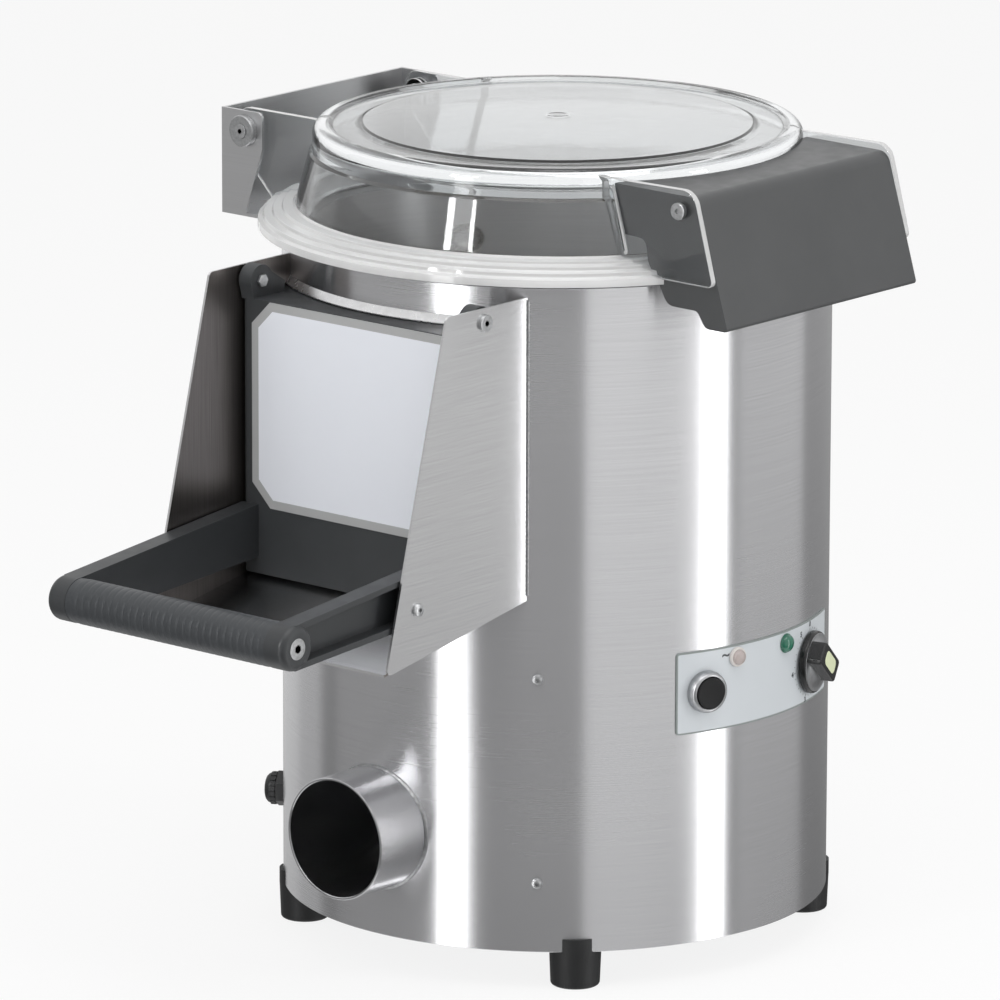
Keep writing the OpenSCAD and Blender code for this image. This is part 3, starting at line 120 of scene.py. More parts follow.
def ranged(tree: Tree, value: Socket, ends: Point, levels: Point) -> Socket:
    """Maps a value between two ends to two levels, and returns the result."""
    inputs = {"Value": value, 1: ends[0], 2: ends[1], 3: levels[0], 4: levels[1]}
    return add(tree, "MapRange", inputs).outputs["Result"]


def fresh_tree(owner: bpy.types.Material | bpy.types.World) -> Tree:
    """Gives a material or a world an empty node tree, and returns it."""
    owner.use_nodes = True
    owner.node_tree.nodes.clear()
    return owner.node_tree


def speckle(tree: Tree, size: Sequence[float], low: float, high: float, detail: float = 3.0) -> Socket:
    """Makes a soft noise in the object's own millimetres.

    Args:
        tree: The material's tree.
        size: The noise's grain along X, Y and Z.
        low: Its value where the noise is dark.
        high: Its value where the noise is light.
        detail: How many finer layers it has.

    Returns:
        The noise as a number.
    """
    place = add(tree, "TexCoord").outputs["Object"]
    scale = [1.0 / (s * MM) for s in size]
    stretched = add(tree, "Mapping", {"Vector": place, "Scale": scale}).outputs["Vector"]
    noise = add(tree, "TexNoise", {"Vector": stretched, "Scale": 1.0, "Detail": detail})
    return ranged(tree, noise.outputs["Fac"], (0.3, 0.7), (low, high))


def relief(tree: Tree, height: Socket, depth: float) -> Socket:
    """Turns a height from 0 to 1 to a bumped normal, with the depth in millimetres."""
    inputs = {"Height": height, "Distance": depth * MM, "Strength": 1.0}
    return add(tree, "Bump", inputs).outputs["Normal"]


# Finishes


@dataclass(frozen=True)
class Finish:
    """A finish of one real material.

    Attributes:
        name: The material's common name and how its surface was made.
        colour: Its colour, as sRGB hex.
        roughness: Its mean roughness.
    """

    name: str
    colour: str
    roughness: float

    def material(self) -> bpy.types.Material:
        """Returns the finish's material, which is made once."""
        found = bpy.data.materials.get(self.name)
        if found:
            return found
        made = bpy.data.materials.new(self.name)
        tree = fresh_tree(made)
        plain = {"Base Color": linear(self.colour), "Roughness": self.roughness}
        shader = add(tree, "BsdfPrincipled", plain)
        self.dress(tree, shader)
        add(tree, "OutputMaterial", {"Surface": shader.outputs["BSDF"]})
        return made

    def dress(self, tree: Tree, shader: Node) -> None:
        """Gives the shader the pattern that the surface shows. Each finish has its own."""

    def shaded(self, tree: Tree, factor: Socket, other: str) -> Socket:
        """Mixes the finish's colour with another by a factor, and returns the mix."""
        inputs = {0: factor, 6: linear(self.colour), 7: linear(other)}
        return add(tree, "Mix", inputs, data_type="RGBA").outputs[2]


class Grain(Enum):
    """Which way a sheet's brushing runs, with the axis that is fine across the lines."""

    LEVEL = (0.0, 0.0, 1.0)
    UPRIGHT = (1.0, 0.0, 0.0)
    CROSSWISE = (0.0, 1.0, 0.0)


@dataclass(frozen=True)
class BrushedSteel(Finish):
    """Stainless sheet, brushed in one direction: long fine lines and stretched reflections.

    Attributes:
        dark: The colour between the bright lines.
        grain: Which way the lines run.
        line: Width of a line, drawn coarser than the real 0.2 mm so that it shows.
        run: Length of a line.
        spread: How far the brushing stretches a reflection, from 0 to 1.
        depth: Depth of the lines.
    """

    dark: str = "#a9aaac"
    grain: Grain = Grain.LEVEL
    line: float = 0.7
    run: float = 60.0
    spread: float = 0.8
    depth: float = 0.004

    def dress(self, tree: Tree, shader: Node) -> None:
        """Adds the lines to colour, roughness and relief, and stretches the reflections."""
        size = [self.line if a else self.run for a in self.grain.value]
        lines = speckle(tree, size, 0.0, 1.0, 4.0)
        clouds = speckle(tree, (90.0, 90.0, 140.0), -0.01, 0.02, 1.0)
        rough = maths(tree, "MULTIPLY_ADD", lines, 0.03, self.roughness - 0.015)
        across = add(tree, "CombineXYZ", dict(enumerate(self.grain.value)))
        feed(shader, {
            "Base Color": self.shaded(tree, lines, self.dark),
            "Roughness": maths(tree, "ADD", rough, clouds),
            "Normal": relief(tree, lines, self.depth),
            "Tangent": across.outputs["Vector"],
            "Metallic": 1.0,
            "Anisotropic": self.spread,
        })


@dataclass(frozen=True)
class PlainMetal(Finish):
    """Turned, cast, plated or polished metal.

    Attributes:
        dark: The colour of the duller patches.
        grain: Size of the patches.
        depth: Depth of the relief.
        wear: How much the roughness changes over the patches.
    """

    dark: str = "#8a8b8d"
    grain: float = 4.0
    depth: float = 0.0
    wear: float = 0.08

    def dress(self, tree: Tree, shader: Node) -> None:
        """Adds duller patches and, where the metal has one, a relief."""
        patches = speckle(tree, (self.grain,) * 3, 0.0, 1.0)
        feed(shader, {
            "Base Color": self.shaded(tree, patches, self.dark),
            "Roughness": maths(
                tree, "MULTIPLY_ADD", patches, self.wear, self.roughness - self.wear / 2
            ),
            "Metallic": 1.0,
        })
        if self.depth:
            feed(shader, {"Normal": relief(tree, patches, self.depth)})


@dataclass(frozen=True)
class MouldedPlastic(Finish):
    """Injection-moulded plastic or rubber: an even colour with a fine eroded grain.

    Attributes:
        light: The colour of the paler patches.
        grain: Size of the mould's grain, drawn coarser than the real 0.1 mm so that it shows.
        depth: Depth of the grain.
        specular: Strength of the plain reflection.
    """

    light: str = "#606264"
    grain: float = 0.8
    depth: float = 0.02
    specular: float = 0.5

    def dress(self, tree: Tree, shader: Node) -> None:
        """Adds the mould's grain and slow changes of tone and gloss."""
        fine = speckle(tree, (self.grain,) * 3, 0.0, 1.0, 2.0)
        slow = speckle(tree, (35.0,) * 3, 0.0, 0.35)
        feed(shader, {
            "Base Color": self.shaded(tree, slow, self.light),
            "Roughness": speckle(
                tree, (12.0,) * 3, self.roughness - 0.04, self.roughness + 0.05
            ),
            "Normal": relief(tree, fine, self.depth),
            "IOR": 1.49,
            "Specular IOR Level": self.specular,
        })


@dataclass(frozen=True)
class ClearPlastic(Finish):
    """Clear moulded plastic, with the faint waves of its mould.

    Attributes:
        ior: Its refractive index.
        clear: How much of the light passes.
        wave: Depth of the waves.
    """

    ior: float = 1.52
    clear: float = 1.0
    wave: float = 0.01

    def dress(self, tree: Tree, shader: Node) -> None:
        """Lets light through, and adds the waves and a few dull patches."""
        waves = speckle(tree, (14.0,) * 3, 0.0, 1.0, 1.0)
        feed(shader, {
            "Roughness": speckle(tree, (40.0,) * 3, self.roughness, self.roughness + 0.03),
            "Normal": relief(tree, waves, self.wave),
            "IOR": self.ior,
            "Transmission Weight": self.clear,
        })


@dataclass(frozen=True)
class Grit(Finish):
    """Mineral grit bonded in resin: sharp grains of changing tone.

    Attributes:
        pale: The colour of the palest grains.
        grain: Size of a grain, drawn as coarse as the real 1 mm to 2 mm.
        depth: How far the grains stand up.
    """

    pale: str = "#a39d94"
    grain: float = 1.6
    depth: float = 0.6

    def dress(self, tree: Tree, shader: Node) -> None:
        """Adds the grains to colour and relief."""
        place = add(tree, "TexCoord").outputs["Object"]
        grains = add(tree, "TexVoronoi", {"Vector": place, "Scale": 1.0 / (self.grain * MM)})
        tone = add(tree, "SeparateColor", {"Color": grains.outputs["Color"]})
        peak = maths(tree, "SUBTRACT", 1.0, grains.outputs["Distance"])
        feed(shader, {
            "Base Color": self.shaded(tree, tone.outputs["Red"], self.pale),
            "Normal": relief(tree, peak, self.depth),
            "Specular IOR Level": 0.35,
        })


CASING_STEEL = BrushedSteel(
    "Stainless sheet, brushed level", "#dedee0", 0.25, "#d6d6d8", Grain.LEVEL, 0.35, 60.0, 0.93,
    0.0002)
CHUTE_STEEL = BrushedSteel(
    "Stainless sheet, satin", "#ebebec", 0.24, "#dfdfe0", Grain.LEVEL, 0.35, 50.0, 0.85, 0.0002)
# Darker steel for the chute's inner side faces: painted shade for the shadow inside the chute, not a
# different finish.
CHUTE_PAINTED_SHADE = BrushedSteel(
    "Stainless sheet, painted shade inside", "#85807d", 0.33, "#77726f", Grain.UPRIGHT, 0.5, 50.0,
    0.6, 0.0004)
PIPE_STEEL = BrushedSteel(
    "Stainless tube, turned", "#c6c6c8", 0.22, "#bfbfc1", Grain.UPRIGHT, 0.35, 40.0, 0.6, 0.0002)
BRACKET_STEEL = BrushedSteel(
    "Stainless sheet, brushed level, dull", "#cdcdce", 0.3, "#c8c8c9", Grain.LEVEL, 0.35, 50.0,
    0.4, 0.0)
LINER_STEEL = BrushedSteel(
    "Stainless liner, brushed level", "#d6d5d5", 0.36, "#cccbcb", Grain.LEVEL, 0.5, 60.0, 0.9,
    0.0004)
PAN_STEEL = BrushedSteel(
    "Stainless sheet, brushed crosswise", "#b9babb", 0.35, "#9fa0a1", Grain.CROSSWISE)
WELD_STEEL = PlainMetal("Stainless weld, wire-brushed", "#b9babb", 0.36, "#8f9092", 1.2, 0.05)
SCREW_STEEL = PlainMetal("Stainless screw, cold-headed", "#c2c3c4", 0.36, "#a9aaab", 2.0)
LIP_STEEL = PlainMetal("Stainless lip, polished", "#e2e2e3", 0.28, "#d6d6d7", 4.0, 0.0, 0.03)
BUSH_STEEL = PlainMetal("Steel bush, turned", "#bcbdbe", 0.34, "#a5a6a7", 1.5, 0.004)
CHROME = PlainMetal("Bezel, satin chromed", "#b6b7b9", 0.33, "#a6a7a9", 3.0, 0.0, 0.04)
SATIN_DISC = PlainMetal("Knob skirt, satin aluminium", "#c9cacc", 0.3, "#babbbd", 3.0, 0.0, 0.04)
SHAFT_STEEL = PlainMetal("Bearing steel, ground", "#a9aaac", 0.25, "#8d8e90", 3.0, 0.005)
GALVANISED = PlainMetal("Sheet steel, galvanised", "#a3a6a9", 0.42, "#868a8e", 9.0, 0.01, 0.16)
CAST = PlainMetal("Aluminium, sand-cast", "#8c8d8f", 0.5, "#6f7072", 1.4, 0.12, 0.12)
NICKEL = PlainMetal("Brass, nickel plated", "#bdb9b0", 0.26, "#a19d93", 2.5, 0.01)
MOTOR_PAINT = MouldedPlastic("Cast motor, painted grey", "#4d5154", 0.5, "#5f6366", 1.5, 0.05)
DOOR_PLASTIC = MouldedPlastic("Door, moulded polyamide", "#36383a", 0.46, "#3e4042", 0.7, 0.008)
ARM_PLASTIC = MouldedPlastic("Door arms, moulded polyamide", "#303234", 0.42, "#3a3c3e", 0.7, 0.006)
GRIP_PLASTIC = MouldedPlastic("Grip, moulded polyamide", "#34373a", 0.42, "#3e4144", 0.7, 0.006)
HANDLE_PLASTIC = MouldedPlastic("Lid handle, moulded ABS", "#454647", 0.4, "#4f5051", 0.7, 0.01)
KNOB_PLASTIC = MouldedPlastic("Knob, moulded phenolic", "#0d0d0e", 0.22, "#161617", 0.8, 0.004)
BUTTON_PLASTIC = MouldedPlastic("Push button, moulded", "#19191a", 0.55, "#1f1f20", 0.6, 0.008, 0.25)
INLAY = MouldedPlastic("Knob inlay, pale", "#dfe6bd", 0.35, "#e6ecca", 1.0, 0.003)
LOCK_PLASTIC = MouldedPlastic("Lock knob, moulded polyamide", "#26282a", 0.42, "#323436")
GLAND_PLASTIC = MouldedPlastic("Cable gland, moulded polyamide", "#191a1b", 0.45, "#242526")
IVORY = MouldedPlastic("Switch gear, moulded ivory", "#cfcbc0", 0.45, "#dad6cb")
FOOT_RUBBER = MouldedPlastic("Foot, moulded rubber", "#151617", 0.55, "#202122", 1.2, 0.03)
SEAL_RUBBER = MouldedPlastic("Seal, extruded rubber", "#1b1c1d", 0.6, "#262728", 1.0)
BELT_RUBBER = MouldedPlastic("Belt, ribbed rubber", "#141415", 0.65, "#1f1f20", 1.0, 0.03)
INK = MouldedPlastic("Ink, screen-printed", "#3c4043", 0.5, "#45494c", 1.0, 0.0)
CONTROL_FILM = MouldedPlastic("Control film, silver polyester", "#cdd2d6", 0.32, "#d4d9dc", 0.5, 0.003)
FILM_EDGE = MouldedPlastic("Control film, printed edge", "#858c8a", 0.42, "#8f9594", 0.5, 0.004)
LABEL_FACE = MouldedPlastic("Label, white polyester", "#f1f4fb", 0.32, "#f4f7fd", 1.0, 0.002)
LABEL_EDGE = MouldedPlastic("Label, grey printed edge", "#b1b2b2", 0.4, "#b8b9b9", 0.8, 0.002)
LID_CLEAR = ClearPlastic("Lid, clear polycarbonate", "#f7f9fa", 0.02)
LID_FROST = ClearPlastic("Lid, polycarbonate, moulded edge", "#ffffff", 0.05, 1.55, 0.42, 0.0)
LAMP_ROSE = ClearPlastic("Lamp lens, clear rose", "#e6d6d0", 0.05, 1.7, 0.6, 0.0)
LAMP_GREEN = ClearPlastic("Lamp lens, green", "#237a5f", 0.05, 1.7, 0.3, 0.0)
LAMP_COLLAR = MouldedPlastic("Lamp collar, moulded white", "#d9d4d0", 0.35, "#e2deda", 0.6, 0.004)
GRIT_LINING = Grit("Abrasive lining, grit in resin", "#5d5852", 0.85, "#8d877e")
GRIT_PLATE = Grit("Abrasive plate, grit in resin", "#4d4842", 0.85, "#7d766d", 2.0, 0.8)


# Mesh tools


def meshed(name: str, bm: BMesh) -> bpy.types.Mesh:
    """Writes a bmesh to a new mesh, and frees it."""
    mesh = bpy.data.meshes.new(name)
    bm.to_mesh(mesh)
    bm.free()
    return mesh


def placed(name: str, data: bpy.types.ID) -> bpy.types.Object:
    """Puts a new object with this data in the scene."""
    made = bpy.data.objects.new(name, data)
    bpy.context.scene.collection.objects.link(made)
    return made


def evaluated(holder: bpy.types.Object) -> BMesh:
    """Reads an object's final mesh, with its modifiers run or its text drawn out."""
    graph = bpy.context.evaluated_depsgraph_get()
    mesh = bpy.data.meshes.new_from_object(holder.evaluated_get(graph))
    bm = bmesh.new()
    bm.from_mesh(mesh)
    bpy.data.meshes.remove(mesh)
    return bm


def revolve(profile: Points, segments: int = 96) -> BMesh:
    """Spins a profile once round the Z axis.

    Args:
        profile: Points as radius and height. A closed ring repeats its first point at the end.
        segments: Steps round the axis.

    Returns:
        The mesh, with its seam and poles merged.
    """
    bm = bmesh.new()
    verts = [bm.verts.new((r, 0.0, h)) for r, h in profile]
    edges = [bm.edges.new(ends) for ends in zip(verts, verts[1:])]
    bmesh.ops.spin(bm, geom=verts + edges, cent=(0.0, 0.0, 0.0), axis=(0.0, 0.0, 1.0),
                   angle=math.tau, steps=segments, use_merge=True)
    bmesh.ops.remove_doubles(bm, verts=bm.verts, dist=MERGE)
    bmesh.ops.recalc_face_normals(bm, faces=bm.faces)
    return bm


def rod(radius: float, low: float, high: float, segments: int) -> BMesh:
    """Makes a plain cylinder round Z, from one height to another."""
    return revolve([(0.0, low), (radius, low), (radius, high), (0.0, high)], segments)


def hexagon_nut(radius: float, height: float) -> BMesh:
    """Makes a hexagon nut on Z = 0, from its corner radius and height."""
    chamfer = 0.4
    return revolve([(0.0, 0.0), (radius - chamfer, 0.0), (radius, chamfer), (radius, height),
                    (0.0, height)], 6)


def quarter(x: float, h: float, wide: float, tall: float, step: int) -> list[Point]:
    """Gives a quarter of an ellipse, from its outermost point to its top.

    Args:
        x: Radius of its middle.
        h: Height of its middle.
        wide: Its half width.
        tall: Its half height.
        step: Degrees from one point to the next.

    Returns:
        Points as radius and height.
    """
    turns = [math.radians(a) for a in range(0, 91, step)]
    return [(x + wide * math.cos(a), h + tall * math.sin(a)) for a in turns]


def plate(outline: Points, thickness: float) -> BMesh:
    """Draws an outline in X and Y out along Z, to a closed plate."""
    bm = bmesh.new()
    face = bm.faces.new([bm.verts.new((x, y, 0.0)) for x, y in outline])
    grown = bmesh.ops.extrude_face_region(bm, geom=[face])["geom"]
    tops = [v for v in grown if isinstance(v, bmesh.types.BMVert)]
    bmesh.ops.translate(bm, vec=(0.0, 0.0, thickness), verts=tops)
    bmesh.ops.recalc_face_normals(bm, faces=bm.faces)
    return bm


def bevel(
    bm: BMesh, edges: list[bmesh.types.BMEdge], width: float, segments: int, clamp: bool = False
) -> None:
    """Bevels edges to a width, in steps, and if asked only as far as the faces allow."""
    bmesh.ops.bevel(bm, geom=edges, offset=width, segments=segments, profile=0.5,
                    affect="EDGES", clamp_overlap=clamp, material=-1)


def round_upright(bm: BMesh, corners: Iterable[Place]) -> BMesh:
    """Rounds a plate's edges along Z, and returns it.

    Args:
        bm: The plate.
        corners: X, Y and setback of each corner to round.

    Returns:
        The same mesh.
    """
    for x, y, setback in corners:
        edges = [
            e
            for e in bm.edges
            if all(math.hypot(v.co.x - x, v.co.y - y) < 0.01 for v in e.verts)
        ]
        bevel(bm, edges, setback, 7)
    return bm


def oblong(x: float, y: float) -> Points:
    """Gives the corners of an oblong round the origin, from its half lengths."""
    return [(-x, -y), (x, -y), (x, y), (-x, y)]


def tablet(x: float, y: float, thickness: float, setback: float) -> BMesh:
    """Makes an oblong plate with rounded corners, from its half lengths."""
    corners = [(i * x, j * y, setback) for i in SIDES for j in SIDES]
    return round_upright(plate(oblong(x, y), thickness), corners)


def soften(bm: BMesh, width: float, segments: int = 2, over: float = 30.0) -> None:
    """Bevels the edges that are sharper than an angle.

    Args:
        bm: A closed mesh.
        width: The bevel's width.
        segments: Its steps.
        over: The angle in degrees.
    """
    limit = math.radians(over)
    edges = [e for e in bm.edges if e.is_manifold and e.calc_face_angle(0.0) > limit]
    bevel(bm, edges, width, segments, True)


def trim(bm: BMesh, place: Place, outward: Place) -> None:
    """Cuts off what lies beyond a plane, and closes the cut.

    Args:
        bm: A closed mesh.
        place: A point on the plane.
        outward: Its normal, towards what is cut off.
    """
    geom = bm.verts[:] + bm.edges[:] + bm.faces[:]
    bmesh.ops.bisect_plane(bm, geom=geom, plane_co=place, plane_no=outward, clear_outer=True)
    bmesh.ops.holes_fill(bm, edges=[e for e in bm.edges if e.is_boundary], sides=0)


def solid(node: str) -> BMesh:
    """Copies a node of the frame, with its seams merged, in millimetres."""
    bm = bmesh.new()
    bm.from_mesh(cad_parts[node].data)
    bm.transform(TO_FLOOR.inverted())
    bmesh.ops.remove_doubles(bm, verts=bm.verts, dist=MERGE)
    return bm


def gathered(parts: Iterable[Part]) -> BMesh:
    """Puts several meshes in one, each at its place."""
    whole = bmesh.new()
    for bm, where in parts:
        bm.transform(where)
        carrier = meshed("carrier", bm)
        whole.from_mesh(carrier)
        bpy.data.meshes.remove(carrier)
    return whole


def carved(bm: BMesh, tool: BMesh) -> BMesh:
    """Cuts one closed mesh out of another.

    Args:
        bm: The mesh that is cut.
        tool: The mesh that cuts it.

    Returns:
        What is left.
    """
    work = placed("work", meshed("work", bm))
    cutter = placed("tool", meshed("tool", tool))
    cut = work.modifiers.new("cut", "BOOLEAN")
    cut.operation = "DIFFERENCE"
    cut.solver = "EXACT"
    cut.object = cutter
    left = evaluated(work)
    for used in (work, cutter):
        data = used.data
        bpy.data.objects.remove(used)
        bpy.data.meshes.remove(data)
    return left


def at_wall(angle: float, height: float, out: float = 0.0) -> Matrix:
    """Gives a place on the casing, with +Z away from the drum and +X down.

    Args:
        angle: Degrees round the drum.
        height: Height over the casing's lower edge.
        out: Distance from the casing's outside.

    Returns:
        The place.
    """
    return (
        Matrix.Rotation(math.radians(angle), 4, "Z")
        @ Matrix.Translation((CASING_R + out, 0.0, height))
        @ Matrix.Rotation(math.pi / 2, 4, "Y")
    )


def facing(axis: str, sign: int, place: Place) -> Matrix:
    """Gives a place whose +Z points along X or Y, one way or the other."""
    if axis == "X":
        turn = Matrix.Rotation(sign * math.pi / 2, 4, "Y")
    else:
        turn = Matrix.Rotation(-sign * math.pi / 2, 4, "X")
    return Matrix.Translation(place) @ turn


def pair(bm: BMesh, axis: str, reach: float, along: float, height: float) -> list[Part]:
    """Sets a mesh on both sides of the object, with its +Z outwards.

    Args:
        bm: The mesh, which is used up.
        axis: "X" or "Y", the axis that it looks along.
        reach: How far from the middle it stands.
        along: Its place on the other level axis.
        height: Its height.

    Returns:
        Both meshes with their places.
    """
    parts = []
    for s, side in ((-1, bm.copy()), (1, bm)):
        place = (s * reach, along, height) if axis == "X" else (along, s * reach, height)
        parts.append((side, facing(axis, s, place)))
    return parts


def screw(
    radius: float, height: float, socket: float, depth: float, round_share: float = 0.2
) -> BMesh:
    """Makes a chamfered screw head with a hexagon socket, standing on Z = 0.

    Args:
        radius: The head's radius.
        height: The head's height.
        socket: The hexagon's corner radius.
        depth: The socket's depth.
        round_share: How much of the height its rounded edge takes.

    Returns:
        The closed mesh.
    """
    edge = height * round_share
    bm = revolve([(0.0, 0.0), (radius, 0.0), (radius, height - edge),
                  (radius - edge * 0.3, height - edge * 0.3), (radius - edge, height),
                  (socket * 1.3, height)], 40)
    rim = [e for e in bm.edges if e.is_boundary]
    top = Matrix.Translation((0.0, 0.0, height))
    ring = bmesh.ops.create_circle(bm, segments=6, radius=socket, matrix=top)["verts"]
    hexagon = list({e for v in ring for e in v.link_edges})
    bmesh.ops.bridge_loops(bm, edges=rim + hexagon)
    deep = bmesh.ops.extrude_edge_only(bm, edges=hexagon)["geom"]
    low = [v for v in deep if isinstance(v, bmesh.types.BMVert)]
    bmesh.ops.translate(bm, vec=(0.0, 0.0, -depth), verts=low)
    floor = [e for e in bm.edges if e.is_boundary and all(v in low for v in e.verts)]
    bmesh.ops.contextual_create(bm, geom=floor)
    bmesh.ops.recalc_face_normals(bm, faces=bm.faces)
    return bm


def wrapped(bm: BMesh, middle: float, height: float, step: float = 2.0) -> BMesh:
    """Bends a flat piece round the casing.

    Args:
        bm: The piece, with X along the casing, Z up and -Y away from it.
        middle: Degrees round the drum of its X = 0.
        height: Height of its Z = 0.
        step: Length of the flat runs that it is cut to first.

    Returns:
        The same mesh.
    """
    low = min(v.co.x for v in bm.verts)
    high = max(v.co.x for v in bm.verts)
    for i in range(1, math.ceil((high - low) / step)):
        geom = bm.verts[:] + bm.edges[:] + bm.faces[:]
        bmesh.ops.bisect_plane(bm, geom=geom, plane_co=(low + i * step, 0.0, 0.0),
                               plane_no=(1.0, 0.0, 0.0))
    for vert in bm.verts:
        angle = math.radians(middle) + vert.co.x / CASING_R
        reach = CASING_R - vert.co.y
        vert.co = (reach * math.cos(angle), reach * math.sin(angle), vert.co.z + height)
    bmesh.ops.recalc_face_normals(bm, faces=bm.faces)
    return bm


# The object


@dataclass
class SubAssembly:
    """Pieces that ride on one body of the frame."""

    body: str

    def piece(
        self,
        name: str,
        bm: BMesh,
        finishes: Finish | Sequence[Finish],
        slot: str,
        replaces: Sequence[str] = (),
    ) -> None:
        """Finishes a mesh as a piece of the object.

        Args:
            name: The piece's name.
            bm: Its mesh in millimetres, which is used up.
            finishes: Its finish, or one for each material index.
            slot: The record's material slot; not used.
            replaces: The nodes that it stands for.
        """
        bm.transform(TO_FLOOR)
        bm.normal_update()
        for face in bm.faces:
            face.smooth = True
        for edge in bm.edges:
            edge.smooth = not edge.is_manifold or edge.calc_face_angle(0.0) < SHARP_ANGLE
        mesh = meshed(name, bm)
        for finish in [finishes] if isinstance(finishes, Finish) else finishes:
            mesh.materials.append(finish.material())
        made = placed(name, mesh)
        even = made.modifiers.new("even_flats", "WEIGHTED_NORMAL")
        even.keep_sharp = True
        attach(made, self.body)
        if replaces:
            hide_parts(*replaces)
        LOG.info("%s: %d faces on %s", name, len(mesh.polygons), self.body)

    def refine(
        self,
        node: str,
        finish: Finish | list[Finish],
        slot: str,
        width: float,
        segments: int = 2,
        second: Callable[[bmesh.types.BMFace], bool] | None = None,
    ) -> None:
        """Makes a piece of a node's own shape, with its edges softened.

        Args:
            node: The node, which the piece stands for.
            finish: The piece's finish or finishes.
            slot: The record's material slot.
            width: Width of the softened edges, or 0 to keep them.
            segments: Steps of the softened edges.
            second: Tells the faces that have the second finish.
        """
        bm = solid(node)
        if width:
            soften(bm, width, segments)
        if second:
            bm.normal_update()
            for face in bm.faces:
                face.material_index = int(second(face))
        self.piece(f"{node}_surface", bm, finish, slot, [node])

    def coat(self, finish: Finish, *nodes: str) -> None:
        """Gives nodes that keep their own mesh a finish."""
        for node in nodes:
            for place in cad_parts[node].material_slots:
                place.material = finish.material()
            LOG.info("%s: %s", node, finish.name)


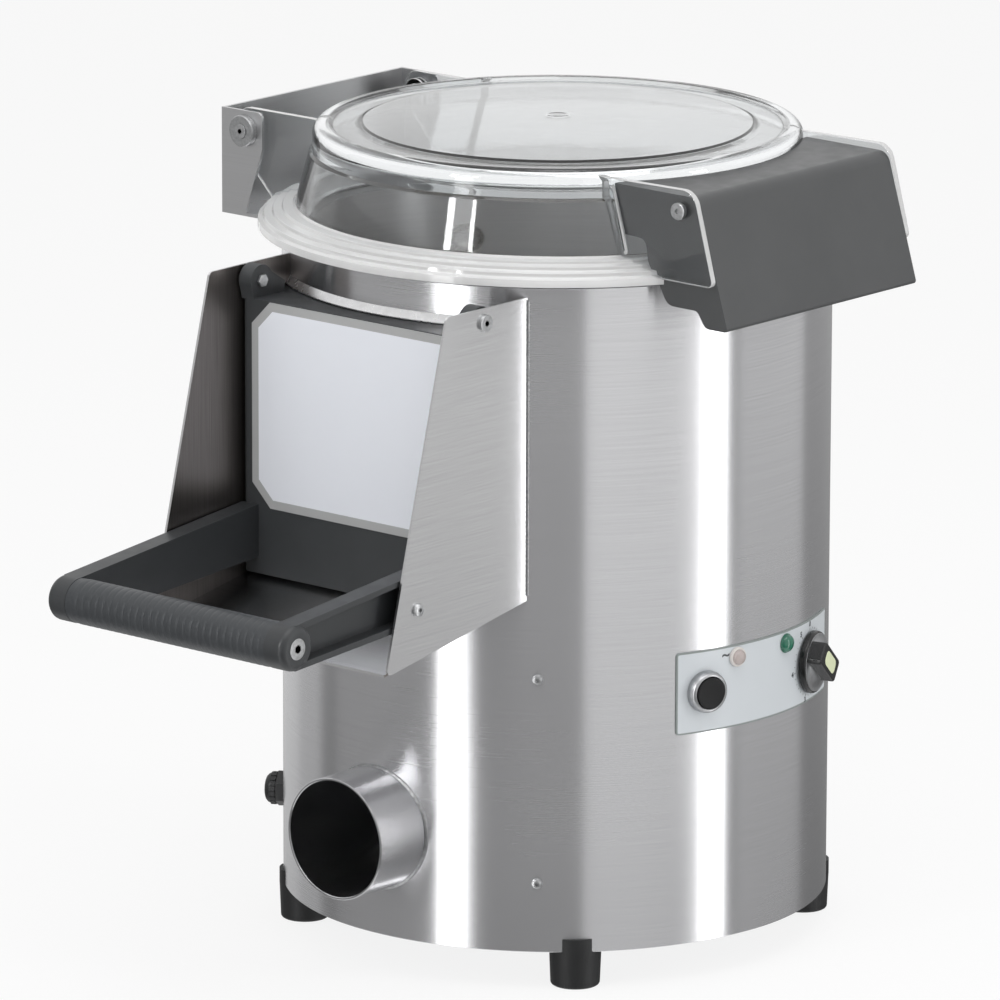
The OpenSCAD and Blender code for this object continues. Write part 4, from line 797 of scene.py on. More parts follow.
@dataclass
class Drum(SubAssembly):
    """The casing with its lining, chamber floor, drain and fixing screws."""

    body: str = "machine"
    height: float = 395.0
    wall: float = 1.5
    edge: float = 0.4
    window_half: float = 82.0
    window_low: float = 211.0
    window_high: float = 371.5
    lip: float = 3.0
    lip_rise: float = 6.4
    lip_half: float = 91.4
    grit_top: float = 290.0
    drain_height: float = 64.7
    drain_r: float = 36.3
    drain_wall: float = 1.6
    drain_end: float = 35.7
    screw_angles: tuple[float, ...] = (-143.3, -23.3, 96.7)
    screw_heights: tuple[float, ...] = (41.6, 164.0)

    def build(self) -> None:
        """Builds the drum's pieces."""
        self.piece("drum_casing", self.shell(), CASING_STEEL, "brushed_stainless", ["casing"])
        self.piece("window_lip", self.window_lip(), LIP_STEEL, "brushed_stainless")
        self.piece("drain_spigot", self.spigot(), PIPE_STEEL, "drain_stainless", ["drain_pipe"])
        self.piece("drain_weld", self.drain_weld(), WELD_STEEL, "drain_stainless")
        heads = gathered(
            (screw(3.1, 2.2, 1.0, 1.6, 0.75), at_wall(angle, height, SEAT))
            for angle in self.screw_angles
            for height in self.screw_heights
        )
        self.piece("casing_screw_heads", heads, SCREW_STEEL, "bright_screw", ["casing_screws"])
        self.refine("lid_seal", SEAL_RUBBER, "black_rubber", 0.5, 3)
        self.piece("chamber_lining", self.liner(-1), GRIT_LINING, "abrasive", ["chamber_liner"])
        self.piece("chamber_top_band", self.liner(1), LINER_STEEL, "satin_stainless")
        self.refine("drain_riser", PIPE_STEEL, "drain_stainless", 0.0)
        self.refine("drain_elbow", PIPE_STEEL, "drain_stainless", 0.0)
        self.refine("sump_pan", PAN_STEEL, "satin_stainless", 0.4)

    def liner(self, side: int) -> BMesh:
        """Returns the liner's part with the grit, side -1, or the bare steel over it, side 1."""
        bm = solid("chamber_liner")
        trim(bm, (0.0, 0.0, self.grit_top), (0.0, 0.0, -side))
        return bm

    def shell(self) -> BMesh:
        """Returns the casing's sheet with its window and its drain hole."""
        inner, edge, top, steps = CASING_R - self.wall, self.edge, self.height, 40
        outer = [(CASING_R, top * i / steps) for i in range(1, steps)]
        bm = revolve([(inner, 0.0), (CASING_R - edge, 0.0), (CASING_R, edge), *outer,
                      (CASING_R, top - edge), (CASING_R - edge, top), (inner, top),
                      (inner, 0.0)], 288)
        half, far = self.window_half, -2.0 * CASING_R
        window = plate([(far, -half), (0.0, -half), (0.0, half), (far, half)],
                       self.window_high - self.window_low)
        bmesh.ops.translate(window, vec=(0.0, 0.0, self.window_low), verts=window.verts)
        drill = rod(self.drain_r, 0.0, CASING_R, 96)
        drill.transform(facing("X", -1, (-CASING_R / 2, 0.0, self.drain_height)))
        return carved(carved(bm, window), drill)

    def window_lip(self) -> BMesh:
        """Returns the bright lip over the window, between the sides of the chute."""
        low, top = self.window_high, self.window_high + self.lip_rise
        inner, outer, edge = CASING_R - self.wall, CASING_R + self.lip, self.edge
        bm = revolve([(inner, low), (outer - edge, low), (outer, low + edge), (outer, low + 0.9),
                      (CASING_R - 0.8, top), (inner, top), (inner, low)], 1152)
        for side in SIDES:
            trim(bm, (0.0, side * self.lip_half, 0.0), (0.0, side, 0.0))
        trim(bm, (0.0, 0.0, 0.0), (1.0, 0.0, 0.0))
        return bm

    def spigot(self) -> BMesh:
        """Returns the drain pipe, its mouth lightly rounded."""
        outer, edge, root, steps = self.drain_r, self.edge, 2.0, 8
        inner = outer - self.drain_wall
        length = self.drain_end + root
        rungs = [length * i / steps for i in range(1, steps)]
        bm = revolve([(inner, 0.0), (outer, 0.0), *[(outer, h) for h in rungs],
                      (outer, length - edge), (outer - edge, length), (inner + edge, length),
                      (inner, length - edge), *[(inner, h) for h in reversed(rungs)],
                      (inner, 0.0)], 128)
        bm.transform(facing("X", -1, (root - CASING_R, 0.0, self.drain_height)))
        return bm

    def drain_weld(self) -> BMesh:
        """Returns the weld where the drain pipe meets the round casing."""
        bead, ripple, ripples = 1.3, 0.12, 48
        turns = [math.tau * i / 8 for i in range(9)]
        bm = revolve([(self.drain_r + bead * math.cos(a), bead * math.sin(a)) for a in turns], 192)
        bm.transform(facing("X", -1, (0.0, 0.0, self.drain_height)))
        for vert in bm.verts:
            turn = math.atan2(vert.co.y, vert.co.z - self.drain_height)
            saddle = math.sqrt(CASING_R**2 - vert.co.y**2)
            vert.co.x -= saddle + ripple * math.sin(ripples * turn)
        return bm


@dataclass
class Chute(SubAssembly):
    """The discharge chute with its welds and screws."""

    body: str = "machine"
    half: float = 91.5
    weld_x: float = 133.4
    weld_low: float = 214.0
    weld_high: float = 388.0
    stop: Point = (-229.1, 223.9)
    pivot: Point = (-171.4, 381.0)
    door_face: float = 79.3

    def build(self) -> None:
        """Builds the chute's pieces."""
        # The inner side faces take the second, darker steel, which is painted shade.
        self.refine("discharge_chute", [CHUTE_STEEL, CHUTE_PAINTED_SHADE], "satin_stainless", 0.35,
                    second=self.faces_in_painted_shade)
        self.piece("chute_welds", self.welds(), WELD_STEEL, "satin_stainless")
        stops = gathered(pair(screw(4.0, 2.2, 1.3, 1.7, 0.6), "Y", self.half + SEAT, *self.stop))
        self.piece("chute_stop_screw_heads", stops, SCREW_STEEL, "bright_screw",
                   ["chute_stop_screws"])
        self.piece("door_pivot_screw_set", self.pivots(), SCREW_STEEL, "bright_screw",
                   ["door_pivot_screws"])

    def faces_in_painted_shade(self, face: bmesh.types.BMFace) -> bool:
        """Tells whether a face looks into the chute, where its darker colour is painted shade."""
        return abs(face.calc_center_median().y) < self.half - 1.0 and abs(face.normal.y) > 0.5

    def welds(self) -> BMesh:
        """Returns the rippled welds between the chute's sides and the casing."""
        bead, ripple, steps = 0.9, 0.18, 120
        length = self.weld_high - self.weld_low
        wavy = [(bead * (1.0 + ripple * math.cos(math.pi * i)), length * i / steps)
                for i in range(steps + 1)]
        reach = self.half + 0.2
        return gathered(
            (revolve([(0.0, 0.0), *wavy, (0.0, length)], 12),
             Matrix.Translation((-self.weld_x, s * reach, self.weld_low)))
            for s in SIDES
        )

    def pivots(self) -> BMesh:
        """Returns the screws that the door turns on, with their nuts."""
        face = self.door_face
        return gathered([
            *pair(screw(5.0, 1.9, 1.8, 1.6), "Y", self.half + SEAT, *self.pivot),
            *pair(rod(2.95, 0.0, self.half + 2.0 - face, 32), "Y", face - 1.0, *self.pivot),
            *pair(hexagon_nut(4.0, 1.7), "Y", face - 2.0, *self.pivot),
        ])


@dataclass
class Hinge(SubAssembly):
    """The lid's hinge bracket with its bushes and screws."""

    body: str = "machine"
    half: float = 80.9
    inner: float = 69.6
    axis: Point = (174.0, 443.0)

    def build(self) -> None:
        """Builds the hinge's pieces."""
        self.refine("hinge_bracket", BRACKET_STEEL, "bracket_steel", 0.4)
        bush = revolve([(4.1, 0.0), (9.5, 0.0), (9.5, 3.5), (9.0, 4.0), (4.6, 4.0), (4.1, 3.6),
                        (4.1, 0.0)], 64)
        bushes = gathered(pair(bush, "X", self.half + SEAT, *self.axis))
        self.piece("hinge_bush_pair", bushes, BUSH_STEEL, "bush_steel", ["hinge_bushes"])
        outer = self.half + 4.0
        screws = gathered([
            *pair(screw(4.4, 0.8, 1.6, 0.7), "X", outer + SEAT, *self.axis),
            *pair(rod(3.95, 0.0, outer - self.inner, 40), "X", self.inner, *self.axis),
            *pair(hexagon_nut(5.6, 1.9), "X", self.inner, *self.axis),
        ])
        self.piece("hinge_screw_set", screws, SCREW_STEEL, "bright_screw", ["hinge_screws"])


@dataclass
class Base(SubAssembly):
    """The feet, the base plate, the frame and what stands on it."""

    body: str = "machine"

    def build(self) -> None:
        """Builds the feet and coats the inner pieces."""
        for corner in ("front_left", "front_right", "rear_right", "rear_left"):
            self.refine(f"foot_{corner}", FOOT_RUBBER, "foot_rubber", 0.7, 3)
        self.coat(GALVANISED, "base_plate", "frame_post_front", "frame_post_right",
                  "frame_post_rear", "motor_plate")
        self.coat(MOTOR_PAINT, "motor_housing", "motor_fan_cover")
        self.coat(CAST, "bearing_housing")
        self.coat(SHAFT_STEEL, "upper_bearing", "lower_bearing", "motor_bolts", "foot_screws")
        self.coat(BELT_RUBBER, "shaft_seal", "drive_belt")
        self.coat(IVORY, "start_switch", "timer_body", "contactor", "run_capacitor")


@dataclass
class Spindle(SubAssembly):
    """The abrasive plate on its shaft, with the lock knob and the driven pulley."""

    body: str = "spindle"

    def build(self) -> None:
        """Builds the plate and the knob, and coats the shaft and the pulley."""
        self.refine("abrasive_plate", GRIT_PLATE, "abrasive", 0.8)
        self.refine("plate_lock_knob", LOCK_PLASTIC, "charcoal_plastic", 0.8, 3)
        self.coat(SHAFT_STEEL, "spindle_shaft")
        self.coat(CAST, "driven_pulley")


@dataclass
class Rotor(SubAssembly):
    """The motor's shaft and its pulley."""

    body: str = "motor_rotor"

    def build(self) -> None:
        """Coats the shaft and the pulley."""
        self.coat(SHAFT_STEEL, "motor_shaft")
        self.coat(CAST, "motor_pulley")


@dataclass
class Controls(SubAssembly):
    """The control plate with its print, its lamps and the start button's bezel."""

    body: str = "machine"
    middle: float = -88.5
    height: float = 151.2
    width: float = 145.5
    tall: float = 49.0
    thick: float = 0.8
    button: Point = (-107.4, 151.2)
    knob: Point = (-73.4, 150.2)
    mains_lamp: Point = (-99.4, 168.4)
    run_lamp: Point = (-84.1, 168.2)
    dial_step: float = 65.4
    ticks_per_step: int = 6
    tick_r: float = 19.9
    number_r: float = 22.6
    bezel_r: float = 12.5
    bezel_h: float = 6.0
    bezel_round: Point = (2.4, 4.2)
    bezel_bore: float = 9.6
    collar_r: float = 5.8

    def build(self) -> None:
        """Builds the plate's pieces."""
        self.piece("control_film", self.film(), [FILM_EDGE, CONTROL_FILM], "control_film",
                   ["control_plate"])
        self.piece("control_print", self.marks(), INK, "control_film")
        face = self.thick + 2 * SEAT
        bezel = self.bezel(face)
        bezel.transform(at_wall(*self.button))
        self.piece("button_bezel", bezel, CHROME, "bright_chrome", ["start_button_bezel"])
        for name, place, size, lens, collar, slot in (
            ("mains_lamp", self.mains_lamp, (1.8, 4.5, 3.4), LAMP_ROSE, LAMP_COLLAR, "lamp_white"),
            ("run_lamp", self.run_lamp, (0.8, 5.3, 3.6), LAMP_GREEN, LAMP_GREEN, "lamp_green"),
        ):
            high, radius, rise = size
            dome = self.lens(face + high, radius, rise)
            dome.transform(at_wall(*place))
            self.piece(f"{name}_lens", dome, lens, slot, [name])
            rim = self.collar(face, face + high, radius + 0.05)
            rim.transform(at_wall(*place))
            self.piece(f"{name}_collar", rim, collar, slot)

    def bezel(self, face: float) -> BMesh:
        """Returns the start button's bezel round Z, with a broad rounded shoulder.

        Args:
            face: Height of the plate's face over the casing.

        Returns:
            The ring with its barrel.
        """
        top, bore, back, wall = face + self.bezel_h, self.bezel_bore, -8.0, 1.4
        wide, tall = self.bezel_round
        shoulder = quarter(self.bezel_r - wide, top - tall, wide, tall, 10)
        return revolve([(bore, back), (bore, top - 0.5), (bore + 0.15, top - 0.2),
                        *reversed(shoulder), (self.bezel_r, face), (bore + wall, face),
                        (bore + wall, back), (bore, back)], 96)

    def collar(self, face: float, top: float, inner: float) -> BMesh:
        """Returns a lamp's collar round Z, standing on the plate's face.

        Args:
            face: Height of the plate's face over the casing.
            top: Height of the collar's top.
            inner: Radius of its bore.

        Returns:
            The ring.
        """
        outer = self.collar_r
        edge = min(0.6, outer - inner - 0.1)
        return revolve([(inner, face), (outer, face), (outer, top - edge),
                        (outer - edge * 0.4, top - edge * 0.3), (outer - edge, top),
                        (inner, top), (inner, face)], 48)

    def lens(self, foot: float, radius: float, rise: float) -> BMesh:
        """Returns a lamp's domed lens round Z, with its stem.

        Args:
            foot: Height that the dome starts at.
            radius: The dome's radius.
            rise: The dome's height.

        Returns:
            The closed lens.
        """
        stem, end = radius - 0.6, -3.0
        return revolve([(0.0, end), (stem, end), (stem, SEAT), (radius, self.thick),
                        *quarter(0.0, foot, radius, rise, 6)], 48)

    def film(self) -> BMesh:
        """Returns the bent plate, with a printed edge round its face."""
        bm = tablet(self.width / 2, self.tall / 2, self.thick, 2.0)
        bm.faces.ensure_lookup_table()
        top = [f for f in bm.faces if f.normal.z > 0.9 and f.calc_center_median().z > 0.4]
        bmesh.ops.inset_region(bm, faces=top, thickness=1.0)
        top[0].material_index = 1
        stand = Matrix.Rotation(math.pi / 2, 4, "X")
        bm.transform(Matrix.Translation((0.0, -SEAT, 0.0)) @ stand)
        return wrapped(bm, self.middle, self.height)

    def on_face(self, x: float, z: float, over: float = 0.0, turn: float = 0.0) -> Matrix:
        """Gives a place on the flat plate's face, with +Z away from it.

        Args:
            x: Distance from the plate's middle.
            z: Height over the plate's middle.
            over: Distance from the face.
            turn: The place's turn in degrees.

        Returns:
            The place.
        """
        return (
            Matrix.Translation((x, -self.thick - SEAT - over, z))
            @ Matrix.Rotation(math.radians(turn), 4, "Y")
            @ Matrix.Rotation(math.pi / 2, 4, "X")
        )

    def marks(self) -> BMesh:
        """Returns the dial's ticks and numbers and the mains sign."""
        knob_x = math.radians(self.knob[0] - self.middle) * CASING_R
        knob_z = self.knob[1] - self.height
        numbers = 6
        parts = []
        for i in range((numbers - 1) * self.ticks_per_step + 1):
            turn = self.dial_step / self.ticks_per_step * i
            wide, tall = (0.25, 1.1) if i % self.ticks_per_step else (0.4, 1.4)
            x = knob_x + self.tick_r * math.sin(math.radians(turn))
            z = knob_z + self.tick_r * math.cos(math.radians(turn))
            line = plate(oblong(wide / 2, tall / 2), 0.06)
            parts.append((line, self.on_face(x, z, turn=turn)))
        for i in range(numbers):
            angle = math.radians(self.dial_step * i)
            x = knob_x + self.number_r * math.sin(angle)
            z = knob_z + self.number_r * math.cos(angle)
            parts.append(self.sign(str(i), x, z, 4.2))
        lamp_x = math.radians(self.mains_lamp[0] - self.middle) * CASING_R
        lamp_z = self.mains_lamp[1] - self.height
        parts.append(self.sign("~", lamp_x - 8.4, lamp_z + 2.4, 9.0))
        return wrapped(gathered(parts), self.middle, self.height, 1.0)

    def sign(self, text: str, x: float, z: float, size: float) -> Part:
        """Draws a number or sign for the plate's face.

        Args:
            text: What is drawn.
            x: Its middle along the plate.
            z: Its middle up the plate.
            size: Its height.

        Returns:
            The sign as a thin flat mesh, and its place.
        """
        half = 0.03
        curve = bpy.data.curves.new("sign", "FONT")
        curve.body = text
        curve.size = size
        curve.align_x = "CENTER"
        curve.align_y = "CENTER"
        curve.extrude = half
        curve.offset = 0.2
        holder = placed("sign", curve)
        bm = evaluated(holder)
        bpy.data.objects.remove(holder)
        bpy.data.curves.remove(curve)
        return bm, self.on_face(x, z, half)


@dataclass
class StartButton(SubAssembly):
    """The start button's cap."""

    body: str = "start_button"
    place: Point = (-107.4, 151.2)
    top: float = 7.6
    stem_end: float = -16.4

    def build(self) -> None:
        """Builds the cap, nearly flat and with a soft edge."""
        top, end, stem, back = self.top, self.stem_end, 3.0, self.top - 10.0
        bm = revolve([(0.0, end), (stem, end), (stem, back), (9.3, back), (9.3, top - 0.7),
                      (9.15, top - 0.25), (8.8, top - 0.05), (8.3, top), (6.5, top - 0.12),
                      (3.5, top - 0.24), (0.0, top - 0.3)], 96)
        bm.transform(at_wall(*self.place))
        self.piece("start_button_cap", bm, BUTTON_PLASTIC, "button_black", ["start_button"])


@dataclass
class TimerKnob(SubAssembly):
    """The timer's knob: a skirt, a crown, a bar to turn it by and a pale inlay."""

    body: str = "timer_knob"
    place: Point = (-73.4, 150.2)
    turn: float = 51.0
    face: float = 1.5
    skirt_r: float = 18.5
    skirt_h: float = 4.5
    crown: Point = (14.8, 9.3)
    crown_h: float = 2.0
    tall: float = 13.4
    half_w: float = 7.2
    half_len: float = 13.6
    shift: float = -2.2
    inlay: Point = (8.8, 4.5)

    def build(self) -> None:
        """Builds the knob and its inlay."""
        where = at_wall(*self.place)
        spun = where @ Matrix.Rotation(math.radians(self.turn), 4, "Z")
        spun = spun @ Matrix.Translation((self.shift, 0.0, 0.0))
        body = gathered([(self.skirt(), where), (self.bar(), spun)])
        self.piece("timer_knob_body", body, [KNOB_PLASTIC, SATIN_DISC], "knob_black", ["timer_knob"])
        inlay = self.inlay_shape(0.45)
        soften(inlay, 0.12, 2, 60.0)
        inlay.transform(spun @ Matrix.Translation((0.0, 0.0, self.face + self.tall - 0.48)))
        self.piece("timer_knob_inlay", inlay, INLAY, "knob_black")

    def inlay_shape(self, thickness: float) -> BMesh:
        """Returns a plate with the inlay's outline."""
        return tablet(*self.inlay, thickness, self.inlay[1] * 0.8)

    def skirt(self) -> BMesh:
        """Returns the shaft, the skirt with its satin ring, and the crown."""
        r, low, shaft_r, shaft_end = self.skirt_r, self.face, 3.0, -24.0
        high = low + self.skirt_h
        foot_r, top_r = self.crown
        bm = revolve([(0.0, shaft_end), (shaft_r, shaft_end), (shaft_r, low), (r - 0.3, low),
                      (r, low + 0.3), (r, high - 1.8), (r - 0.4, high - 0.8),
                      (r - 1.2, high - 0.2), (r - 1.6, high - 0.1), (foot_r, high - 0.3),
                      (foot_r - 2.2, high + self.crown_h * 0.3), (top_r, high + self.crown_h),
                      (0.0, high + self.crown_h)], 96)
        for face in bm.faces:
            middle = face.calc_center_median()
            if middle.z > high - 0.5 and math.hypot(middle.x, middle.y) < r - 1.3:
                face.material_index = 1
        return bm

    def bar(self) -> BMesh:
        """Returns the bar on the skirt, with soft edges and a pocket for the inlay."""
        foot = self.face + self.skirt_h - 1.0
        high = self.face + self.tall
        bm = tablet(self.half_len, self.half_w, high - foot, 2.6)
        bevel(bm, [e for e in bm.edges if all(v.co.z > 1.0 for v in e.verts)], 1.0, 4)
        pocket = self.inlay_shape(2.0)
        pocket.transform(Matrix.Translation((0.0, 0.0, high - foot - 0.5)))
        cut = carved(bm, pocket)
        cut.transform(Matrix.Translation((0.0, 0.0, foot)))
        return cut


@dataclass
class Connections(SubAssembly):
    """The water inlet and the cable gland at the back."""

    body: str = "machine"
    inlet: Point = (62.0, 345.0)
    gland: Point = (120.0, 45.0)

    def build(self) -> None:
        """Builds the inlet and the gland."""
        self.piece("water_inlet_union", self.union(), NICKEL, "nickel_brass", ["water_inlet"])
        self.piece("cable_gland_nut", self.nut(), GLAND_PLASTIC, "gland_plastic", ["cable_gland"])

    def union(self) -> BMesh:
        """Returns the threaded spigot with its hexagon."""
        bore, neck, root, crest, pitch = 7.2, 12.6, 12.4, 13.2, 1.81
        back, start, end = -7.0, 4.0, 18.0
        thread: list[Point] = []
        for i in range(int((end - start - 2.0) / pitch)):
            h = start + 1.0 + i * pitch
            thread += [(root, h), (crest, h + pitch * 0.4), (crest, h + pitch * 0.6)]
        spigot = revolve([(bore, back), (neck, back), (neck, start), (root, start), *thread,
                          (root, end - 0.8), (root - 0.8, end), (bore + 0.5, end),
                          (bore, end - 0.5), (bore, back)], 72)
        hexagon = revolve([(neck, 0.0), (18.0, 0.0), (18.0, 3.9), (neck, 3.9), (neck, 0.0)], 6)
        soften(hexagon, 0.5)
        where = at_wall(*self.inlet, SEAT)
        return gathered([(spigot, where), (hexagon, where)])

    def nut(self) -> BMesh:
        """Returns the gland's hexagon and its ribbed dome nut."""
        bore, foot, rib_count = 5.0, 6.9, 16
        where = at_wall(*self.gland, SEAT)
        barrel = revolve([(bore, -10.0), (8.0, -10.0), (8.0, 7.0), (bore, 7.0), (bore, -10.0)], 48)
        hexagon = revolve([(bore, 0.0), (11.0, 0.0), (11.0, 6.6), (bore, 6.6), (bore, 0.0)], 6)
        soften(hexagon, 0.5)
        dome = revolve([(bore, foot), (9.4, foot), (9.4, 10.2), (8.6, 12.0), (7.2, 13.3),
                        (bore + 0.6, 13.9), (bore, 13.4), (bore, foot)], 64)
        rib = plate([(9.0, -0.6), (9.95, -0.35), (9.95, 0.35), (9.0, 0.6)], 3.4)
        ribs = [(rib.copy(), where @ Matrix.Rotation(math.tau * i / rib_count, 4, "Z")
                 @ Matrix.Translation((0.0, 0.0, foot))) for i in range(rib_count)]
        rib.free()
        return gathered([(barrel, where), (hexagon, where), (dome, where), *ribs])


@dataclass
class Lid(SubAssembly):
    """The clear lid with its wings, its handle and the handle's screws."""

    body: str = "lid"
    flange_r: float = 176.0
    cone_r: float = 154.0
    cone_foot: float = 12.6
    cone_top: float = 43.6
    shoulder_r: float = 144.0
    shoulder_h: float = 61.6
    shoulder_round: float = 7.0
    dome_r: float = 114.3
    dome_rise: float = 3.6
    nub_r: float = 8.0
    wall: float = 3.0
    cut_y: float = 157.5
    handle_half: float = 86.6
    handle_screw: Point = (-168.2, 444.1)
    hinge: Point = (174.0, 443.0)
    hinge_inner: float = 73.0
    bore_r: float = 4.05
    wing_reach: float = 4.0

    def build(self) -> None:
        """Builds the lid's pieces."""
        clear = [LID_CLEAR, LID_FROST]
        self.piece("lid_bowl", self.bowl(), clear, "clear_polycarbonate", ["lid"])
        self.piece("lid_front_wings", self.front_wings(), clear, "clear_polycarbonate")
        self.piece("lid_rear_wings", self.rear_wings(), clear, "clear_polycarbonate")
        self.refine("lid_handle", HANDLE_PLASTIC, "handle_plastic", 0.9, 3)
        heads = gathered(
            pair(screw(5.0, 2.6, 1.7, 1.5), "X", self.handle_half + 4.1, *self.handle_screw))
        self.piece("lid_handle_screw_heads", heads, SCREW_STEEL, "bright_screw",
                   ["lid_handle_screws"])

    def dome(self, top: float) -> list[Point]:
        """Gives the shallow dome's points, from its rim at a height to the nub in its middle."""
        steps = 24
        ball = (self.dome_r**2 + self.dome_rise**2) / (2 * self.dome_rise)
        sweep = math.asin(self.dome_r / ball)
        angles = [sweep * (1 - i / steps) for i in range(steps + 1)]
        low = top + self.dome_rise - ball
        points = [(ball * math.sin(a), low + ball * math.cos(a)) for a in angles]
        return [p for p in points if p[0] >= self.nub_r]

    def bowl(self) -> BMesh:
        """Returns the lid's shell: collar, stepped flange, cone, shoulder and domed middle."""
        s_r, s_h, t, c_r, d_r = (
            self.shoulder_r, self.shoulder_h, self.wall, self.cone_r, self.dome_r)
        flange_w, bend = self.flange_r - c_r, self.shoulder_round
        steps = [(flange_w * a + c_r, self.cone_foot * b) for a, b in (
            (1.0, 0.36), (0.87, 0.42), (0.84, 0.62), (0.62, 0.66), (0.59, 0.82), (0.36, 0.86),
            (0.33, 0.98))]
        nub = s_h + self.dome_rise
        ring = [(d_r + 5.0, s_h - 2.0), (d_r + 2.2, s_h - 1.3), (d_r + 0.8, s_h - 0.5)]
        outer = [
            *steps, (c_r + 1.5, 12.7), (c_r, 14.0), (s_r + 2.0, self.cone_top), (s_r, 45.1),
            *quarter(s_r - bend, s_h - bend, bend, bend, 9),
            (134.5, s_h), (132.0, s_h - 2.0), *ring, *self.dome(s_h),
            (7.2, nub - 0.02), (6.4, nub + 0.12), (5.6, nub + 0.12), (4.8, nub), (0.0, nub),
        ]
        inner = [
            (0.0, nub - t), *reversed(self.dome(s_h - t)),
            *[(r, h - t) for r, h in reversed(ring)],
            (134.5, s_h - 2.0 - t), (s_r - t - 1.2, s_h - 8.2), (s_r - t, s_h - 10.0),
            (s_r - t, s_h - 14.0), (c_r - t, self.cone_foot), (149.2, 0.0), (149.2, -6.0),
            (152.2, -6.0), (152.2, 0.0), (165.0, 0.0), (165.0, 4.0), (173.0, 4.0), (173.0, 0.0),
            (self.flange_r, 0.0),
        ]
        bm = revolve([*outer, *inner, steps[0]], 224)
        soften(bm, 0.35, 2, 28.0)
        bmesh.ops.translate(bm, vec=(0.0, 0.0, LID_BASE), verts=bm.verts)
        trim(bm, (0.0, self.cut_y, 0.0), (0.0, 1.0, 0.0))
        for face in bm.faces:
            middle = face.calc_center_median()
            if math.hypot(middle.x, middle.y) > c_r + 0.5:
                face.material_index = 1
        return bm

    def core(self) -> BMesh:
        """Returns a solid that fills the lid's cone, to cut the wings' roots with."""
        inside, low = 1.2, -8.0
        cone, shoulder, top = (
            self.cone_r - inside, self.shoulder_r - inside, self.shoulder_h - inside)
        bm = revolve([(0.0, low), (cone, low), (cone, self.cone_foot),
                      (shoulder + 2.0, self.cone_top), (shoulder, 46.0), (shoulder, 55.0),
                      (self.shoulder_r - self.shoulder_round, top), (0.0, top)], 160)
        bmesh.ops.translate(bm, vec=(0.0, 0.0, LID_BASE), verts=bm.verts)
        return bm

    def wing(
        self, outline: Points, thickness: float, corners: Sequence[Place], inner: float, side: int
    ) -> BMesh:
        """Makes one upright wing, cut off at the lid's cone.

        Args:
            outline: Its corners along Y and up.
            thickness: Its thickness.
            corners: Y, height and setback of the corners that are rounded.
            inner: How far from the middle its inner face is.
            side: 1 or -1, the side that it stands on.

        Returns:
            The closed wing.
        """
        wing = round_upright(plate(outline, thickness), corners)
        soften(wing, 0.7, 3)
        upright = Matrix(((0, 0, 1, 0), (1, 0, 0, 0), (0, 1, 0, 0), (0, 0, 0, 1)))
        start = inner if side > 0 else -inner - self.wing_reach
        wing.transform(Matrix.Translation((start, 0.0, 0.0)) @ upright)
        return carved(wing, self.core())

    def frosted(self, parts: Iterable[Part]) -> BMesh:
        """Joins upright wings, and marks their faces that don't look along X as frosted."""
        bm = gathered(parts)
        bm.normal_update()
        for face in bm.faces:
            if abs(face.normal.x) < 0.8:
                face.material_index = 1
        return bm

    def front_wings(self) -> BMesh:
        """Returns the wings that hold the handle, with the ribs at their roots."""
        outline = [(-105.0, 456.0), (-178.0, 456.7), (-193.0, 402.0), (-113.9, 402.4)]
        corners = [(-178.0, 456.7, 8.0), (-193.0, 402.0, 5.0)]
        parts = []
        for s in SIDES:
            parts.append((self.wing(outline, 3.9, corners, self.handle_half, s), Matrix()))
            root = Vector((s * 89.6, -127.5, 412.5))
            run = Vector((s * 88.6, -116.0, 452.0)) - root
            end = run.length
            rib = revolve([(0.0, 0.0), (2.2, 0.3), (3.0, 2.5), (2.6, end - 2.5),
                           (1.8, end - 0.3), (0.0, end)], 24)
            lean = run.to_track_quat("Z", "Y").to_matrix().to_4x4()
            parts.append((rib, Matrix.Translation(root) @ lean))
        return self.frosted(parts)

    def rear_wings(self) -> BMesh:
        """Returns the wings that the lid turns by, with their bosses."""
        outline = [(81.0, 456.0), (183.0, 456.0), (183.0, 431.0), (155.5, 402.4), (81.0, 402.4)]
        corners = [(183.0, 456.0, 8.6), (183.0, 431.0, 6.0)]
        bore, boss_r, boss_w = self.bore_r, 8.5, 1.6
        parts = []
        for s in SIDES:
            wing = self.wing(outline, 4.0, corners, self.hinge_inner, s)
            drill = rod(bore, -20.0, 20.0, 48)
            drill.transform(facing("X", 1, (s * (self.hinge_inner + 2.0), *self.hinge)))
            parts.append((carved(wing, drill), Matrix()))
            for low in (71.4, 76.9):
                boss = revolve([(bore, 0.0), (boss_r - 0.3, 0.0), (boss_r, 0.4), (boss_r, 1.2),
                                (boss_r - 0.3, boss_w), (bore, boss_w), (bore, 0.0)], 64)
                start = low if s > 0 else -low - boss_w
                parts.append((boss, facing("X", 1, (start, *self.hinge))))
        return self.frosted(parts)


